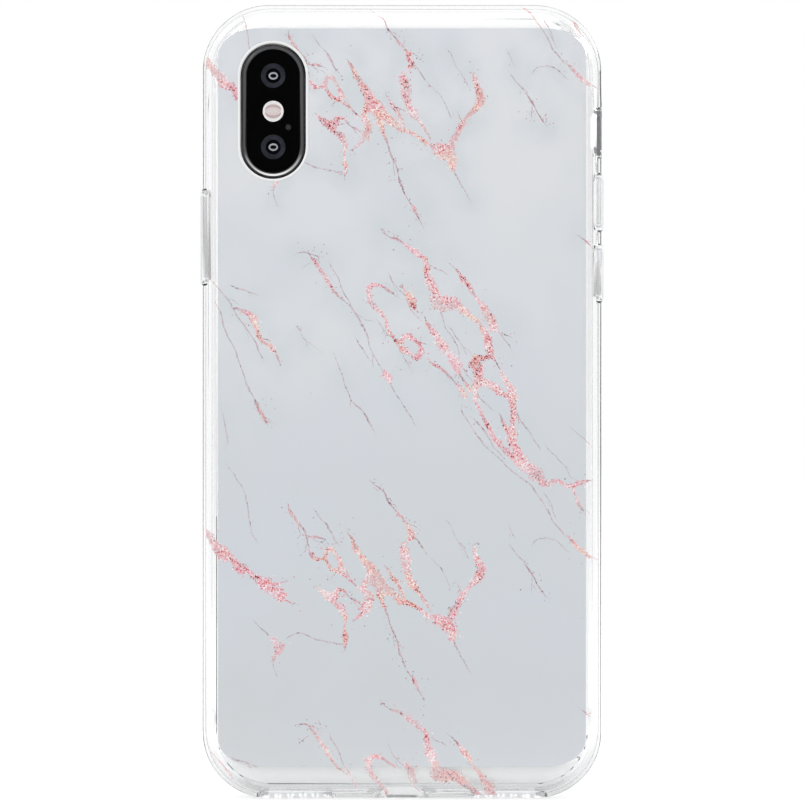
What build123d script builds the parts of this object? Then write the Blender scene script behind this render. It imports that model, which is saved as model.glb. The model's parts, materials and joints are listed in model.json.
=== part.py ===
"""A smartphone in a clear bumper case with a printed back, as separate pieces.

Frame: +X is to the right when looking at the back of the phone, +Y points out of the screen,
+Z runs up the phone. The origin is the middle of the bottom end of the case. All sizes in mm.
"""

import os

from build123d import *

# ---------------------------------------------------------------- driving dimensions
# Phone body.
phone_width = 70.9
phone_height = 143.6
phone_depth = 7.7
phone_corner = 10.9
phone_edge = 3.2            # rounding of the front and rear edges, glass and band together

# Case.
case_wall = 1.45
case_back = 1.4
case_fit = 0.05             # gap all round between the phone and the case
case_lip_rise = 0.85        # how far the lip stands above the screen
case_lip_cover = 1.2        # how far the lip reaches over the edge of the screen
case_back_edge = 3.0
case_front_edge = 0.8
panel_side_margin = 3.04
panel_top_margin = 4.56
panel_bottom_margin = 6.0
panel_corner_across = 7.4
panel_corner_up = 5.2
panel_thickness = 0.8
film_thickness = 0.1
panel_gap = 0.05

# Phone body layers, from the screen to the rear glass.
front_glass_thickness = 0.75
gasket_thickness = 0.2
display_thickness = 0.6
shield_plate_thickness = 0.2
rear_glass_thickness = 0.7
rear_plate_thickness = 0.4
frame_wall = 2.4
display_border = 4.2
display_corner = 8.0
notch_width = 34.8
notch_depth = 5.4
notch_corner = 2.2

# Gaps.
layer_gap = 0.05            # between layers that lie on each other
part_gap = 0.3              # between modules inside the phone
slide_gap = 0.15            # round a piece that slides in a slot
pad_gap = 0.25              # round the moving pads of the case

# Camera island: distances from the phone's left and top edges, seen from behind.
island_from_side = 11.7
island_from_top = 18.3
island_width = 12.0
island_height = 24.95
island_rise = 1.2
island_bevel = 0.45
island_rim = 1.05
island_ledge = 0.5
island_flange = 0.8
island_opening_gap = 0.2    # case opening round the island
island_opening_rim = 0.3    # clear rim between that opening and the printed panel
cover_recess = 0.15
cover_thickness = 0.6
ink_thickness = 0.1         # under the cover glass
lens_spacing = 13.15
barrel_radius = 3.2
barrel_aperture_radius = 1.37
barrel_aperture_depth = 0.7
focus_travel = 0.25
focus_gap = 0.1
camera_housing_width = 11.0
camera_housing_height = 11.5
flash_radius = 1.95
flash_ring_count = 4
flash_led_size = 0.9
rear_mic_from_centre_x = 2.8
rear_mic_from_centre_z = -2.95
rear_mic_radius = 0.5

# Buttons and switch: lengths, and distances of their middles below the phone's top.
power_length = 17.0
power_from_top = 41.4
volume_length = 10.0
volume_up_from_top = 35.0
volume_down_from_top = 48.1
button_thickness = 2.3
button_rise = 0.5
button_travel = 0.3
button_stem = 1.1           # the button behind the band's surface
button_flange = 0.4
pad_margin = 0.3            # the case's pad is this much larger than the button all round
pad_rise = 0.4              # how far a pad stands proud of the case
switch_from_top = 22.1
switch_length = 5.6
switch_thickness = 1.5
switch_travel = 1.2
switch_window_length = 9.6
switch_window_thickness = 5.2
dome_radius = 1.1
dome_thickness = 0.25
button_flex_thickness = 0.15

# Card tray.
tray_from_top = 67.5
tray_length = 15.2
tray_face_thickness = 2.2
tray_depth_in = 17.5
tray_thickness = 0.9
card_length = 12.3
card_width = 8.8
card_thickness = 0.67

# Bottom end.
port_width = 8.4
port_thickness = 2.8
port_window_width = 9.8     # at the phone; it flares outwards
port_window_thickness = 5.2
port_window_flare = 1.65
port_depth = 7.5
port_wall = 0.3
port_tongue_width = 6.7
port_tongue_thickness = 0.7
port_tongue_length = 5.0
grille_from_middle = 19.5
grille_hole_count = 6
grille_hole_radius = 0.75
grille_hole_pitch = 2.3
grille_window_width = 14.6
grille_window_thickness = 3.6
end_screw_from_middle = 8.2
end_screw_head_radius = 0.8
end_screw_head_height = 0.6
end_screw_shank_radius = 0.5
end_screw_length = 3.2

# Antenna breaks in the band.
antenna_width = 1.3
antenna_depth = 1.2
antenna_from_end = 14.5
antenna_from_side = 7.0

# Inside modules.
side_channel = 2.2
bottom_bay_height = 20.0
sensor_bay_height = 9.0
board_length = 48.0
board_thickness = 0.7
board_rear_chip_height = 0.6
board_can_height = 1.65
board_can_wall = 0.15
board_rail = 1.6            # width of the frame that joins the two boards
board_corner = 1.5
board_screw_radius = 0.6
board_screw_inset = 2.2
board_screw_head_radius = 0.95
board_screw_head_height = 0.25
chip_margin = 2.0
chip_gap = 1.0
cell_corner = 2.0
coil_inner_radius = 10.5
coil_outer_radius = 21.5
coil_thickness = 0.4
coil_turns = 8
coil_turn_gap = 0.35
ferrite_radius = 23.0
ferrite_thickness = 0.15
module_wall = 0.4
haptic_travel = 0.8
haptic_end_gap = 0.3
speaker_travel = 0.35
cone_thickness = 0.25
cone_rim = 1.2
strip_width = 6.0
strip_thickness = 0.1
tab_length = 4.0
bottom_mic_size = 3.0
bottom_mic_height = 1.0
infrared_size = 5.4
projector_size = 5.6
selfie_size = 5.4
sensor_lens_radius = 1.5
illuminator_width = 3.2
earpiece_slot_length = 10.6
earpiece_slot_width = 1.0
earpiece_mesh_recess = 0.25
sensor_bracket_thickness = 0.2

# ---------------------------------------------------------------- places worked out from them
case_inside_width = phone_width + 2 * case_fit
case_inside_height = phone_height + 2 * case_fit
case_width = case_inside_width + 2 * case_wall
case_height = case_inside_height + 2 * case_wall
case_depth = case_back + case_fit + phone_depth + case_lip_rise
case_corner = phone_corner + case_fit + case_wall

y_case_back = -case_depth / 2
y_case_front = case_depth / 2
y_phone_back = y_case_back + case_back + case_fit
y_phone_front = y_phone_back + phone_depth
y_middle = (y_phone_back + y_phone_front) / 2
z_phone_low = case_wall + case_fit
z_phone_high = z_phone_low + phone_height
z_phone_middle = z_phone_low + phone_height / 2
z_case_middle = case_height / 2
x_phone = phone_width / 2
body_edge = min(phone_edge, 0.47 * phone_depth)

# The layers of the body.
y_glass_low = y_phone_front - front_glass_thickness
y_gasket_low = y_glass_low - gasket_thickness
y_display_low = y_glass_low - layer_gap - display_thickness
y_shield_low = y_display_low - layer_gap - shield_plate_thickness
y_rear_glass_high = y_phone_back + rear_glass_thickness
y_rear_plate_low = y_rear_glass_high + layer_gap
y_rear_plate_high = y_rear_plate_low + rear_plate_thickness
y_frame_low = y_rear_glass_high
y_frame_high = y_gasket_low

# The space inside the band.
cavity_half = x_phone - frame_wall
cavity_low = z_phone_low + frame_wall
cavity_high = z_phone_high - frame_wall
cavity_width = 2 * cavity_half
cavity_height = cavity_high - cavity_low
cavity_corner = phone_corner - frame_wall
contents_half = cavity_half - side_channel
y_inside_low = y_rear_plate_high
y_inside_high = y_shield_low

# The charging coil and what lies on it.
y_coil_low = y_rear_glass_high + layer_gap
y_ferrite_low = max(y_coil_low + coil_thickness, y_rear_plate_high) + layer_gap
y_ferrite_high = y_ferrite_low + ferrite_thickness
y_cell_low = y_ferrite_high + strip_thickness + 2 * layer_gap
y_cell_high = y_inside_high - part_gap / 2

# The two boards.
y_board_rear_low = y_ferrite_high + layer_gap + board_rear_chip_height
y_board_rear_high = y_board_rear_low + board_thickness
y_board_front_high = y_inside_high - part_gap / 2 - board_can_height
y_board_front_low = y_board_front_high - board_thickness

# The card tray lies on the front board.
y_tray_middle = y_board_front_high + layer_gap + board_can_wall + slide_gap + tray_thickness / 2
y_tray_face = y_middle + 0.5

# The camera island.
island_x = -x_phone + island_from_side
island_z = z_phone_high - island_from_top
y_island = y_phone_back - island_rise
y_cover_low = y_island + cover_recess
y_cover_high = y_cover_low + cover_thickness
y_ink_high = y_cover_high + ink_thickness
y_barrel_front = y_ink_high + focus_gap + focus_travel
lens_heights = {
    "wide": island_z + lens_spacing / 2,
    "tele": island_z - lens_spacing / 2,
}
y_housing_low = y_rear_plate_high + layer_gap
y_housing_high = y_inside_high - part_gap - sensor_bracket_thickness
y_barrel_rear = y_housing_low + 0.6 * (y_housing_high - y_housing_low)
camera_right = island_x + camera_housing_width / 2
camera_low = island_z - lens_spacing / 2 - camera_housing_height / 2

# Bays.
bay_low = cavity_low + part_gap
bay_high = bay_low + bottom_bay_height
battery_low = bay_high + part_gap
sensor_high = cavity_high - part_gap
sensor_low = sensor_high - sensor_bay_height
sensor_half = min(notch_width / 2, -(camera_right + part_gap))
sensor_lens_z = (sensor_low + sensor_high) / 2 + 0.6
earpiece_z = (sensor_low + sensor_high) / 2 + 1.6
left_column_right = -part_gap / 2 - 0.06 * phone_width
right_column_left = left_column_right + part_gap
board_high = camera_low - 2 * part_gap
board_low = board_high - board_length
short_cell_high = board_low - part_gap
long_cell_high = sensor_low - part_gap

# Buttons.
power_z = z_phone_high - power_from_top
volume_z = {
    "up": z_phone_high - volume_up_from_top,
    "down": z_phone_high - volume_down_from_top,
}
switch_z = z_phone_high - switch_from_top
tray_z = z_phone_high - tray_from_top
x_tray_inner = -x_phone + tray_depth_in


# ---------------------------------------------------------------- helpers
def slab(sketch, y_low, y_high):
    """A flat outline, drawn in X and Z, made solid from y_low to y_high."""
    return extrude(Plane.XZ.offset(-y_high) * sketch, y_high - y_low)


def block(x_low, x_high, y_low, y_high, z_low, z_high):
    """A box between two corners."""
    middle = ((x_low + x_high) / 2, (y_low + y_high) / 2, (z_low + z_high) / 2)
    return Pos(*middle) * Box(x_high - x_low, y_high - y_low, z_high - z_low)


def plate(width, height, corner, y_low, y_high, x=0.0, z=z_phone_middle):
    """A flat plate with rounded corners."""
    return slab(Pos(x, z) * RectangleRounded(width, height, corner), y_low, y_high)


def pill(width, height, y_low, y_high, x=island_x, z=island_z):
    """An upright flat slot shape, with round ends above and below."""
    return slab(Pos(x, z) * SlotOverall(height, width, rotation=90), y_low, y_high)


def rod_y(radius, y_low, y_high, x, z):
    """A round bar along Y."""
    return slab(Pos(x, z) * Circle(radius), y_low, y_high)


def rod_x(radius, x_low, x_high, y, z):
    """A round bar along X."""
    return Pos(x_low, y, z) * extrude(Plane.YZ * Circle(radius), x_high - x_low)


def rod_z(radius, z_low, z_high, x, y):
    """A round bar along Z."""
    return Pos(x, y, z_low) * extrude(Circle(radius), z_high - z_low)


def key(thickness, length, x_low, x_high, y, z):
    """An upright slot shape pushed along X, as a side button is."""
    shape = Plane.YZ * SlotOverall(length, thickness, rotation=90)
    return Pos(x_low, y, z) * extrude(shape, x_high - x_low)


def end_slot(width, thickness, z_low, z_high, x, y):
    """A slot shape pushed along Z, as an opening in the bottom end is."""
    return Pos(x, y, z_low) * extrude(SlotOverall(width, thickness), z_high - z_low)


def pillow(width, height, corner, y_low, y_high, edge, z):
    """A plate whose front and rear edges are both rounded."""
    body = plate(width, height, corner, y_low, y_high, z=z)
    faces = body.faces().sort_by(Axis.Y)
    return fillet(faces[0].edges() + faces[-1].edges(), edge)


def oval_cornered(width, height, across, up):
    """A rectangle with quarter-ellipse corners."""
    shape = Rectangle(width - 2 * across, height) + Rectangle(width, height - 2 * up)
    for side in (-1, 1):
        for end in (-1, 1):
            x, z = side * (width / 2 - across), end * (height / 2 - up)
            shape += Pos(x, z) * Ellipse(across, up)
    return shape


def inside_cavity(shape, gap=part_gap):
    """The part of a shape that lies clear of the band's inner wall."""
    limit = plate(
        cavity_width - 2 * gap, cavity_height - 2 * gap, cavity_corner - gap,
        y_inside_low, y_inside_high,
    )
    return shape & limit


def mirror_side(side, near, far):
    """Orders two distances from the middle for one side of the phone, left (-1) or right (1)."""
    return (side * near, side * far) if side > 0 else (side * far, side * near)


# ---------------------------------------------------------------- body shapes shared by many pieces
def phone_body(grow=0.0):
    """The whole phone's outer shape, without the camera island."""
    return pillow(
        phone_width + 2 * grow, phone_height + 2 * grow, phone_corner + grow,
        y_phone_back - grow, y_phone_front + grow, body_edge + grow, z_phone_middle,
    )


def grille_holes():
    """The round holes in the band's bottom end, in two rows of the same length."""
    holes = []
    half_row = (grille_hole_count - 1) * grille_hole_pitch / 2
    for side in (-1, 1):
        for i in range(grille_hole_count):
            x = side * grille_from_middle - half_row + i * grille_hole_pitch
            top = cavity_low + 1
            holes.append(rod_z(grille_hole_radius, z_phone_low - 1, top, x, y_middle))
    return holes


def antenna_places():
    """Boxes through the band's outer skin where its plastic breaks go: two a side, one an end."""
    half = antenna_width / 2
    reach = 2 * antenna_depth
    boxes = []
    for side in (-1, 1):
        low, high = mirror_side(side, x_phone - reach, x_phone + 1)
        for z in (z_phone_low + antenna_from_end, z_phone_high - antenna_from_end):
            boxes.append(block(low, high, y_frame_low, y_frame_high, z - half, z + half))
        x = side * (x_phone - antenna_from_side)
        low, high = (z_phone_high - reach, z_phone_high + 1)
        if side < 0:
            low, high = (z_phone_low - 1, z_phone_low + reach)
        boxes.append(block(x - half, x + half, y_frame_low, y_frame_high, low, high))
    return boxes


# ---------------------------------------------------------------- case
def side_keys(grow, near, far):
    """The three button shapes, all round larger by grow, from near to far out from the middle."""
    thickness = button_thickness + 2 * grow
    low, high = mirror_side(-1, near, far)
    keys = {"power": key(thickness, power_length + 2 * grow, low, high, y_middle, power_z)}
    low, high = mirror_side(1, near, far)
    for name, z in volume_z.items():
        length = volume_length + 2 * grow
        keys["volume_" + name] = key(thickness, length, low, high, y_middle, z)
    return keys


def case_panel_outline(shrink=0.0):
    width = case_width - 2 * panel_side_margin - 2 * shrink
    height = case_height - panel_top_margin - panel_bottom_margin - 2 * shrink
    middle = (panel_bottom_margin + case_height - panel_top_margin) / 2
    shape = oval_cornered(width, height, panel_corner_across, panel_corner_up)
    return Pos(0, middle) * shape


def case_shell():
    body = plate(case_width, case_height, case_corner, y_case_back, y_case_front, z=z_case_middle)
    faces = body.faces().sort_by(Axis.Y)
    body = fillet(faces[0].edges(), case_back_edge)
    faces = body.faces().sort_by(Axis.Y)
    body = fillet(faces[-1].edges(), case_front_edge)
    body -= phone_body(case_fit)
    cover = case_lip_cover
    body -= plate(
        phone_width - 2 * cover, phone_height - 2 * cover, phone_corner - cover,
        y_middle, y_case_front + 1,
    )
    recess = panel_thickness + film_thickness
    rim = island_opening_gap + island_opening_rim
    pocket = slab(case_panel_outline(), y_case_back - 1, y_case_back + recess)
    pocket -= pill(
        island_width + 2 * rim, island_height + 2 * rim, y_case_back - 2, y_case_back + recess + 1,
    )
    body -= pocket
    opening = island_opening_gap
    body -= pill(
        island_width + 2 * opening, island_height + 2 * opening, y_case_back - 1, y_middle,
    )
    for shape in side_keys(pad_margin + pad_gap, x_phone - 2, x_phone + case_wall + 2).values():
        body -= shape
    low, high = mirror_side(1, x_phone - 2, x_phone + case_wall + 2)
    body -= key(
        switch_window_thickness, switch_window_length, low, high, y_middle, switch_z,
    )
    body -= port_window()
    for side in (-1, 1):
        body -= end_slot(
            grille_window_width, grille_window_thickness, -1, z_phone_low + 2,
            side * grille_from_middle, y_middle,
        )
    return body


def port_window():
    """The opening in the case under the socket, wider outside than at the phone."""
    low = Pos(0, y_middle, 0) * SlotOverall(
        port_window_width + 2 * port_window_flare, port_window_thickness + port_window_flare,
    )
    high = Pos(0, y_middle, z_phone_low) * SlotOverall(port_window_width, port_window_thickness)
    straight = end_slot(
        port_window_width, port_window_thickness, z_phone_low - 0.1, z_phone_low + 2, 0, y_middle,
    )
    return loft([low, high]) + straight


def case_back_panel():
    rim = island_opening_gap + island_opening_rim + panel_gap
    shape = slab(
        case_panel_outline(panel_gap), y_case_back + film_thickness,
        y_case_back + film_thickness + panel_thickness - panel_gap,
    )
    return shape - pill(
        island_width + 2 * rim, island_height + 2 * rim, y_case_back - 1, y_middle,
    )


def case_print_film():
    rim = island_opening_gap + island_opening_rim + panel_gap
    shape = slab(case_panel_outline(panel_gap), y_case_back, y_case_back + film_thickness)
    return shape - pill(
        island_width + 2 * rim, island_height + 2 * rim, y_case_back - 1, y_middle,
    )


def case_pads():
    """The moulded pads over the buttons, each hollowed at the back where the button fits in."""
    outer = case_width / 2 + pad_rise
    near = x_phone + layer_gap + button_travel + layer_gap
    pads = side_keys(pad_margin, near, outer)
    crown = min(pad_margin + 0.3, 0.45 * pad_rise + 0.3)
    for name, shape in pads.items():
        direction = -1 if name == "power" else 1
        face = shape.faces().sort_by(Axis.X)[0 if direction < 0 else -1]
        shape = fillet(face.edges(), crown)
        pads[name] = shape
    for name, shape in side_keys(layer_gap, x_phone - 1, x_phone + button_rise + layer_gap).items():
        pads[name] -= shape
    return pads


# ---------------------------------------------------------------- band, glass and display
def band():
    body = phone_body() & plate(
        phone_width + 2, phone_height + 2, phone_corner, y_frame_low, y_frame_high,
    )
    return body - plate(
        cavity_width, cavity_height, cavity_corner, y_frame_low - 1, y_frame_high + 1,
    )


def band_pockets():
    """Slots and holes in the band for buttons, switch, tray, port, grilles and end screws."""
    shapes = []
    reach = x_phone + 1
    through = side_keys(slide_gap, cavity_half - 1, reach)
    shapes += list(through.values())
    behind = side_keys(
        button_flange + slide_gap, cavity_half - 1, x_phone - button_stem + slide_gap,
    )
    shapes += list(behind.values())
    low, high = mirror_side(1, cavity_half - 1, reach)
    window = switch_thickness + switch_travel + 2 * slide_gap
    window_y = y_middle
    shapes.append(key(
        window, switch_length + 2 * slide_gap + switch_travel, low, high, window_y, switch_z,
    ))
    low, high = mirror_side(-1, cavity_half - 1, reach)
    tray_face = tray_face_thickness + 2 * layer_gap
    shapes.append(key(
        tray_face, tray_length + 2 * layer_gap, low, high, y_tray_face, tray_z,
    ))
    half = tray_length / 2 - 0.8 + slide_gap
    shapes.append(block(
        -x_phone + 0.8, -cavity_half + 1, y_tray_middle - tray_thickness / 2 - slide_gap,
        y_tray_middle + tray_thickness / 2 + slide_gap, tray_z - half, tray_z + half,
    ))
    shapes.append(end_slot(
        port_width + 2 * layer_gap, port_thickness + 2 * layer_gap,
        z_phone_low - 1, cavity_low + 1, 0, y_middle,
    ))
    shapes += grille_holes()
    for side in (-1, 1):
        x = side * end_screw_from_middle
        head_top = z_phone_low + end_screw_head_height + layer_gap
        shapes.append(rod_z(end_screw_head_radius + layer_gap, z_phone_low - 1, head_top, x, y_middle))
        shapes.append(rod_z(end_screw_shank_radius + layer_gap, z_phone_low, cavity_low + 1, x, y_middle))
    return shapes


def steel_frame_and_antennas():
    ring = band()
    core = plate(
        phone_width - 2 * antenna_depth, phone_height - 2 * antenna_depth,
        phone_corner - antenna_depth, y_frame_low - 1, y_frame_high + 1,
    )
    skin = ring - core
    inserts = [(skin & place).solids()[0] for place in antenna_places()]
    for insert in inserts:
        ring -= insert
    for shape in band_pockets():
        ring -= shape
    return ring, Compound(inserts)


def earpiece_slot(shrink, y_low, y_high):
    shape = SlotOverall(earpiece_slot_length - 2 * shrink, earpiece_slot_width - 2 * shrink)
    return slab(Pos(0, earpiece_z) * shape, y_low, y_high)


def front_glass():
    sheet = phone_body() & plate(
        phone_width + 2, phone_height + 2, phone_corner, y_glass_low, y_phone_front + 1,
    )
    return sheet - earpiece_slot(0, y_glass_low - 1, y_phone_front + 1)


def display_gasket():
    body = phone_body() & plate(
        phone_width + 2, phone_height + 2, phone_corner, y_gasket_low, y_glass_low,
    )
    inner = plate(
        cavity_width, cavity_height, cavity_corner, y_gasket_low - 1, y_glass_low + 1,
    )
    return body - inner


def display_outline(border):
    width, height = phone_width - 2 * border, phone_height - 2 * border
    shape = Pos(0, z_phone_middle) * RectangleRounded(width, height, display_corner)
    top = z_phone_middle + height / 2
    low_edge = top - notch_depth
    notch = Pos(0, low_edge + notch_depth) * RectangleRounded(
        notch_width, 2 * notch_depth, notch_corner,
    )
    return shape - notch


def oled_panel():
    return slab(display_outline(display_border), y_display_low, y_glass_low - layer_gap)


def display_shield_plate():
    gap = part_gap
    sheet = plate(
        cavity_width - 2 * gap, cavity_height - 2 * gap, cavity_corner - gap,
        y_shield_low, y_shield_low + shield_plate_thickness,
    )
    opening = Pos(0, sensor_high) * Rectangle(2 * sensor_half, 2 * sensor_bay_height * 0.6)
    return sheet - slab(opening, y_shield_low - 1, y_display_low)


def rear_glass():
    sheet = phone_body() & plate(
        phone_width + 2, phone_height + 2, phone_corner, y_phone_back - 1, y_rear_glass_high,
    )
    return sheet - pill(
        island_width + 2 * layer_gap, island_height + 2 * layer_gap, y_phone_back - 1, y_middle,
    )


def rear_support_plate():
    sheet = plate(
        cavity_width - 2 * layer_gap, cavity_height - 2 * layer_gap, cavity_corner - layer_gap,
        y_rear_plate_low, y_rear_plate_high,
    )
    grow = island_flange + layer_gap
    sheet -= pill(
        island_width + 2 * grow, island_height + 2 * grow, y_phone_back - 1, y_middle,
    )
    coil_z = z_phone_middle
    return sheet - rod_y(coil_outer_radius + part_gap, y_phone_back, y_middle, 0, coil_z)


# ---------------------------------------------------------------- buttons, switch and tray
def buttons():
    caps = side_keys(0, x_phone - button_stem, x_phone + button_rise)
    flanges = side_keys(
        button_flange, x_phone - button_stem - button_flange - button_travel,
        x_phone - button_stem - button_travel,
    )
    necks = side_keys(0, x_phone - button_stem - button_travel - 0.1, x_phone - button_stem + 0.1)
    made = {}
    for name, cap in caps.items():
        direction = -1 if name == "power" else 1
        face = cap.faces().sort_by(Axis.X)[0 if direction < 0 else -1]
        made[name] = fillet(face.edges(), 0.25) + necks[name] + flanges[name]
    return made


def button_flexes():
    """Two flex strips inside the band behind the buttons, with a dome switch at each contact."""
    flange_inner = x_phone - button_stem - button_travel - button_flange
    dome_far = flange_inner - button_travel - layer_gap
    near = dome_far - dome_thickness - button_flex_thickness
    places = {-1: [power_z], 1: list(volume_z.values())}
    strips = []
    for side, heights in places.items():
        low, high = mirror_side(side, near, near + button_flex_thickness)
        z_low, z_high = min(heights) - 7, max(heights) + 7
        strip = block(low, high, y_middle - 1.6, y_middle + 1.6, z_low, z_high)
        low, high = mirror_side(side, near + button_flex_thickness, dome_far)
        for z in heights:
            for offset in (-3, 3):
                strip += rod_x(dome_radius, low, high, y_middle, z + offset)
        strips.append(strip)
    return Compound([strip.solids()[0] for strip in strips])


def ring_switch_lever():
    """The lever at the screen side of its slot; it slides towards the rear."""
    y = y_middle + switch_travel / 2
    tip = key(switch_thickness, switch_length, x_phone - 0.6, x_phone + 0.35, y, switch_z)
    tip = fillet(tip.faces().sort_by(Axis.X)[-1].edges(), 0.25)
    inner = cavity_half - 0.6
    return tip + key(switch_thickness, switch_length, inner, x_phone - 0.5, y, switch_z)


def ring_switch_base():
    """The detent housing that the lever's foot slides in front of."""
    outer = cavity_half - 0.6 - layer_gap
    return block(
        contents_half + 0.2, outer, y_middle - 2, y_middle + 2,
        switch_z - 3.6, switch_z + 3.6,
    )


def sim_tray():
    face = key(
        tray_face_thickness, tray_length, -x_phone - 1, -x_phone + 1.0, y_tray_face, tray_z,
    ) & phone_body()
    half = tray_length / 2 - 0.8
    blade = block(
        -x_phone + 0.8, x_tray_inner, y_tray_middle - tray_thickness / 2,
        y_tray_middle + tray_thickness / 2, tray_z - half, tray_z + half,
    )
    middle = x_tray_inner - 1.0 - card_length / 2
    y_pocket = y_tray_middle + tray_thickness / 2 - card_thickness
    pocket = block(
        middle - card_length / 2, middle + card_length / 2, y_pocket, y_middle + 10,
        tray_z - card_width / 2, tray_z + card_width / 2,
    )
    return face + blade - pocket


def sim_reader():
    """The open-ended cage round the tray, standing on the front board."""
    gap, wall = slide_gap, board_can_wall
    half = tray_length / 2 - 0.8
    x_low, x_high = -contents_half + 0.2, x_tray_inner + 1.0
    y_low, y_high = y_tray_middle - tray_thickness / 2, y_tray_middle + tray_thickness / 2
    cage = block(
        x_low, x_high, y_low - gap - wall, y_high + gap + wall,
        tray_z - half - gap - wall, tray_z + half + gap + wall,
    )
    hollow = block(
        x_low - 1, x_high - wall, y_low - gap, y_high + gap,
        tray_z - half - gap, tray_z + half + gap,
    )
    return cage - hollow


def end_screws():
    screws = []
    for side in (-1, 1):
        x = side * end_screw_from_middle
        head_top = z_phone_low + end_screw_head_height
        head = rod_z(end_screw_head_radius, z_phone_low + 0.05, head_top, x, y_middle)
        socket = rod_z(end_screw_head_radius * 0.45, z_phone_low - 1, z_phone_low + 0.35, x, y_middle)
        for i in range(5):
            turn = Pos(x, y_middle, 0) * Rot(0, 0, 72 * i)
            reach = end_screw_head_radius * 0.42
            socket += turn * rod_z(reach * 0.6, z_phone_low - 1, z_phone_low + 0.35, reach, 0)
        shank_top = z_phone_low + min(end_screw_length, frame_wall - layer_gap)
        screws.append(head - socket + rod_z(end_screw_shank_radius, head_top - 0.1, shank_top, x, y_middle))
    return Compound([screw.solids()[0] for screw in screws])


# ---------------------------------------------------------------- camera island
def camera_island_ring():
    outer = pill(island_width, island_height, y_island, y_rear_glass_high + layer_gap)
    outer = chamfer(outer.faces().sort_by(Axis.Y)[0].edges(), island_bevel)
    grow = island_flange
    outer += pill(
        island_width + 2 * grow, island_height + 2 * grow,
        y_rear_glass_high + layer_gap, y_rear_plate_high,
    )
    inner_width, inner_height = island_width - 2 * island_rim, island_height - 2 * island_rim
    outer -= pill(inner_width, inner_height, y_island - 1, y_ink_high)
    return outer - pill(
        inner_width - 2 * island_ledge, inner_height - 2 * island_ledge, y_island - 1, y_middle,
    )


def rear_mic_place():
    return island_x + rear_mic_from_centre_x, island_z + rear_mic_from_centre_z


def camera_cover_glass():
    width = island_width - 2 * island_rim - 2 * layer_gap
    height = island_height - 2 * island_rim - 2 * layer_gap
    sheet = pill(width, height, y_cover_low, y_cover_high)
    sheet = chamfer(sheet.faces().sort_by(Axis.Y)[0].edges(), 0.1)
    x, z = rear_mic_place()
    return sheet - rod_y(rear_mic_radius, y_island - 1, y_middle, x, z)


def camera_housing(z):
    half_x, half_z = camera_housing_width / 2, camera_housing_height / 2
    body = block(
        island_x - half_x, island_x + half_x, y_housing_low, y_housing_high,
        z - half_z, z + half_z,
    )
    body = fillet(body.edges().filter_by(Axis.Y), 1.0)
    bore = rod_y(barrel_radius + slide_gap, y_phone_back, y_barrel_rear + part_gap, island_x, z)
    return body - bore


def camera_barrel(z):
    """The lens barrel, with an opening for the lens in front."""
    body = rod_y(barrel_radius, y_barrel_front, y_barrel_rear, island_x, z)
    body = chamfer(body.faces().sort_by(Axis.Y)[0].edges(), 0.15)
    depth = y_barrel_front + barrel_aperture_depth
    body -= rod_y(barrel_aperture_radius, y_barrel_front - 1, depth + 1.2, island_x, z)
    return body


def flash_diffuser():
    y_low = y_ink_high
    body = rod_y(flash_radius, y_low, y_low + 0.5, island_x, island_z)
    for i in range(flash_ring_count):
        radius = flash_radius * (i + 1) / (flash_ring_count + 1)
        groove = rod_y(radius + 0.06, y_low + 0.38, y_low + 1, island_x, island_z)
        groove -= rod_y(radius - 0.06, y_low, y_low + 2, island_x, island_z)
        body -= groove
    return body


def flash_led_module():
    y_low = y_ink_high + 0.5 + layer_gap
    body = rod_y(flash_radius, y_low + 0.25, y_low + 0.55, island_x, island_z)
    for i in (-1, 1):
        for j in (-1, 1):
            x, z = island_x + i * 0.6, island_z + j * 0.6
            half = flash_led_size / 2
            body += block(x - half, x + half, y_low, y_low + 0.3, z - half, z + half)
    return body


def rear_microphone():
    x, z = rear_mic_place()
    return rod_y(rear_mic_radius - layer_gap, y_cover_low + 0.3, y_ink_high + 0.5, x, z)


def camera_bracket():
    """A stamped plate over the rear cameras, on the screen side."""
    half_x, half_z = camera_housing_width / 2, island_height / 2
    y_low = y_housing_high + layer_gap
    body = block(
        island_x - half_x, island_x + half_x, y_low, y_low + sensor_bracket_thickness,
        island_z - half_z + 1.5, island_z + half_z - 1.5,
    )
    for z in lens_heights.values():
        body -= rod_y(1.6, y_low - 1, y_low + 1, island_x, z)
    return body


# ---------------------------------------------------------------- front sensors and earpiece
def sensor_block(x_low, x_high, has_lens):
    body = block(
        x_low, x_high, y_inside_low + part_gap, y_inside_high - part_gap,
        sensor_low + 1.5, sensor_high - 1.0,
    )
    if has_lens:
        low, high = y_inside_high - part_gap - 0.1, y_inside_high + 0.3
        body += rod_y(sensor_lens_radius, low, high, (x_low + x_high) / 2, sensor_lens_z)
    return body


def front_sensors():
    """From the right, seen from behind: infrared camera, illuminator, earpiece, selfie camera, dots."""
    made = {}
    right = sensor_half - part_gap
    for name, width in (("infrared_camera", infrared_size), ("flood_illuminator", illuminator_width)):
        made[name] = sensor_block(right - width, right, name == "infrared_camera")
        right -= width + part_gap
    left = -sensor_half + part_gap
    for name, width in (("dot_projector", projector_size), ("selfie_camera", selfie_size)):
        made[name] = sensor_block(left, left + width, True)
        left += width + part_gap
    earpiece = sensor_block(left, right, False)
    spout = earpiece_slot(layer_gap, y_inside_high - part_gap - 0.1, y_inside_high + 0.2)
    made["earpiece_speaker"] = earpiece + spout
    return made


def sensor_bracket():
    """A pressed tray that holds the front sensors from behind."""
    z_low, z_high = sensor_low + 0.6, sensor_high - 0.1
    y_low = y_inside_low + layer_gap
    tray = block(-sensor_half, sensor_half, y_low, y_low + sensor_bracket_thickness, z_low, z_high)
    tray += block(
        -sensor_half, sensor_half, y_low, y_low + 2.0, z_low, z_low + sensor_bracket_thickness,
    )
    return tray


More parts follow.
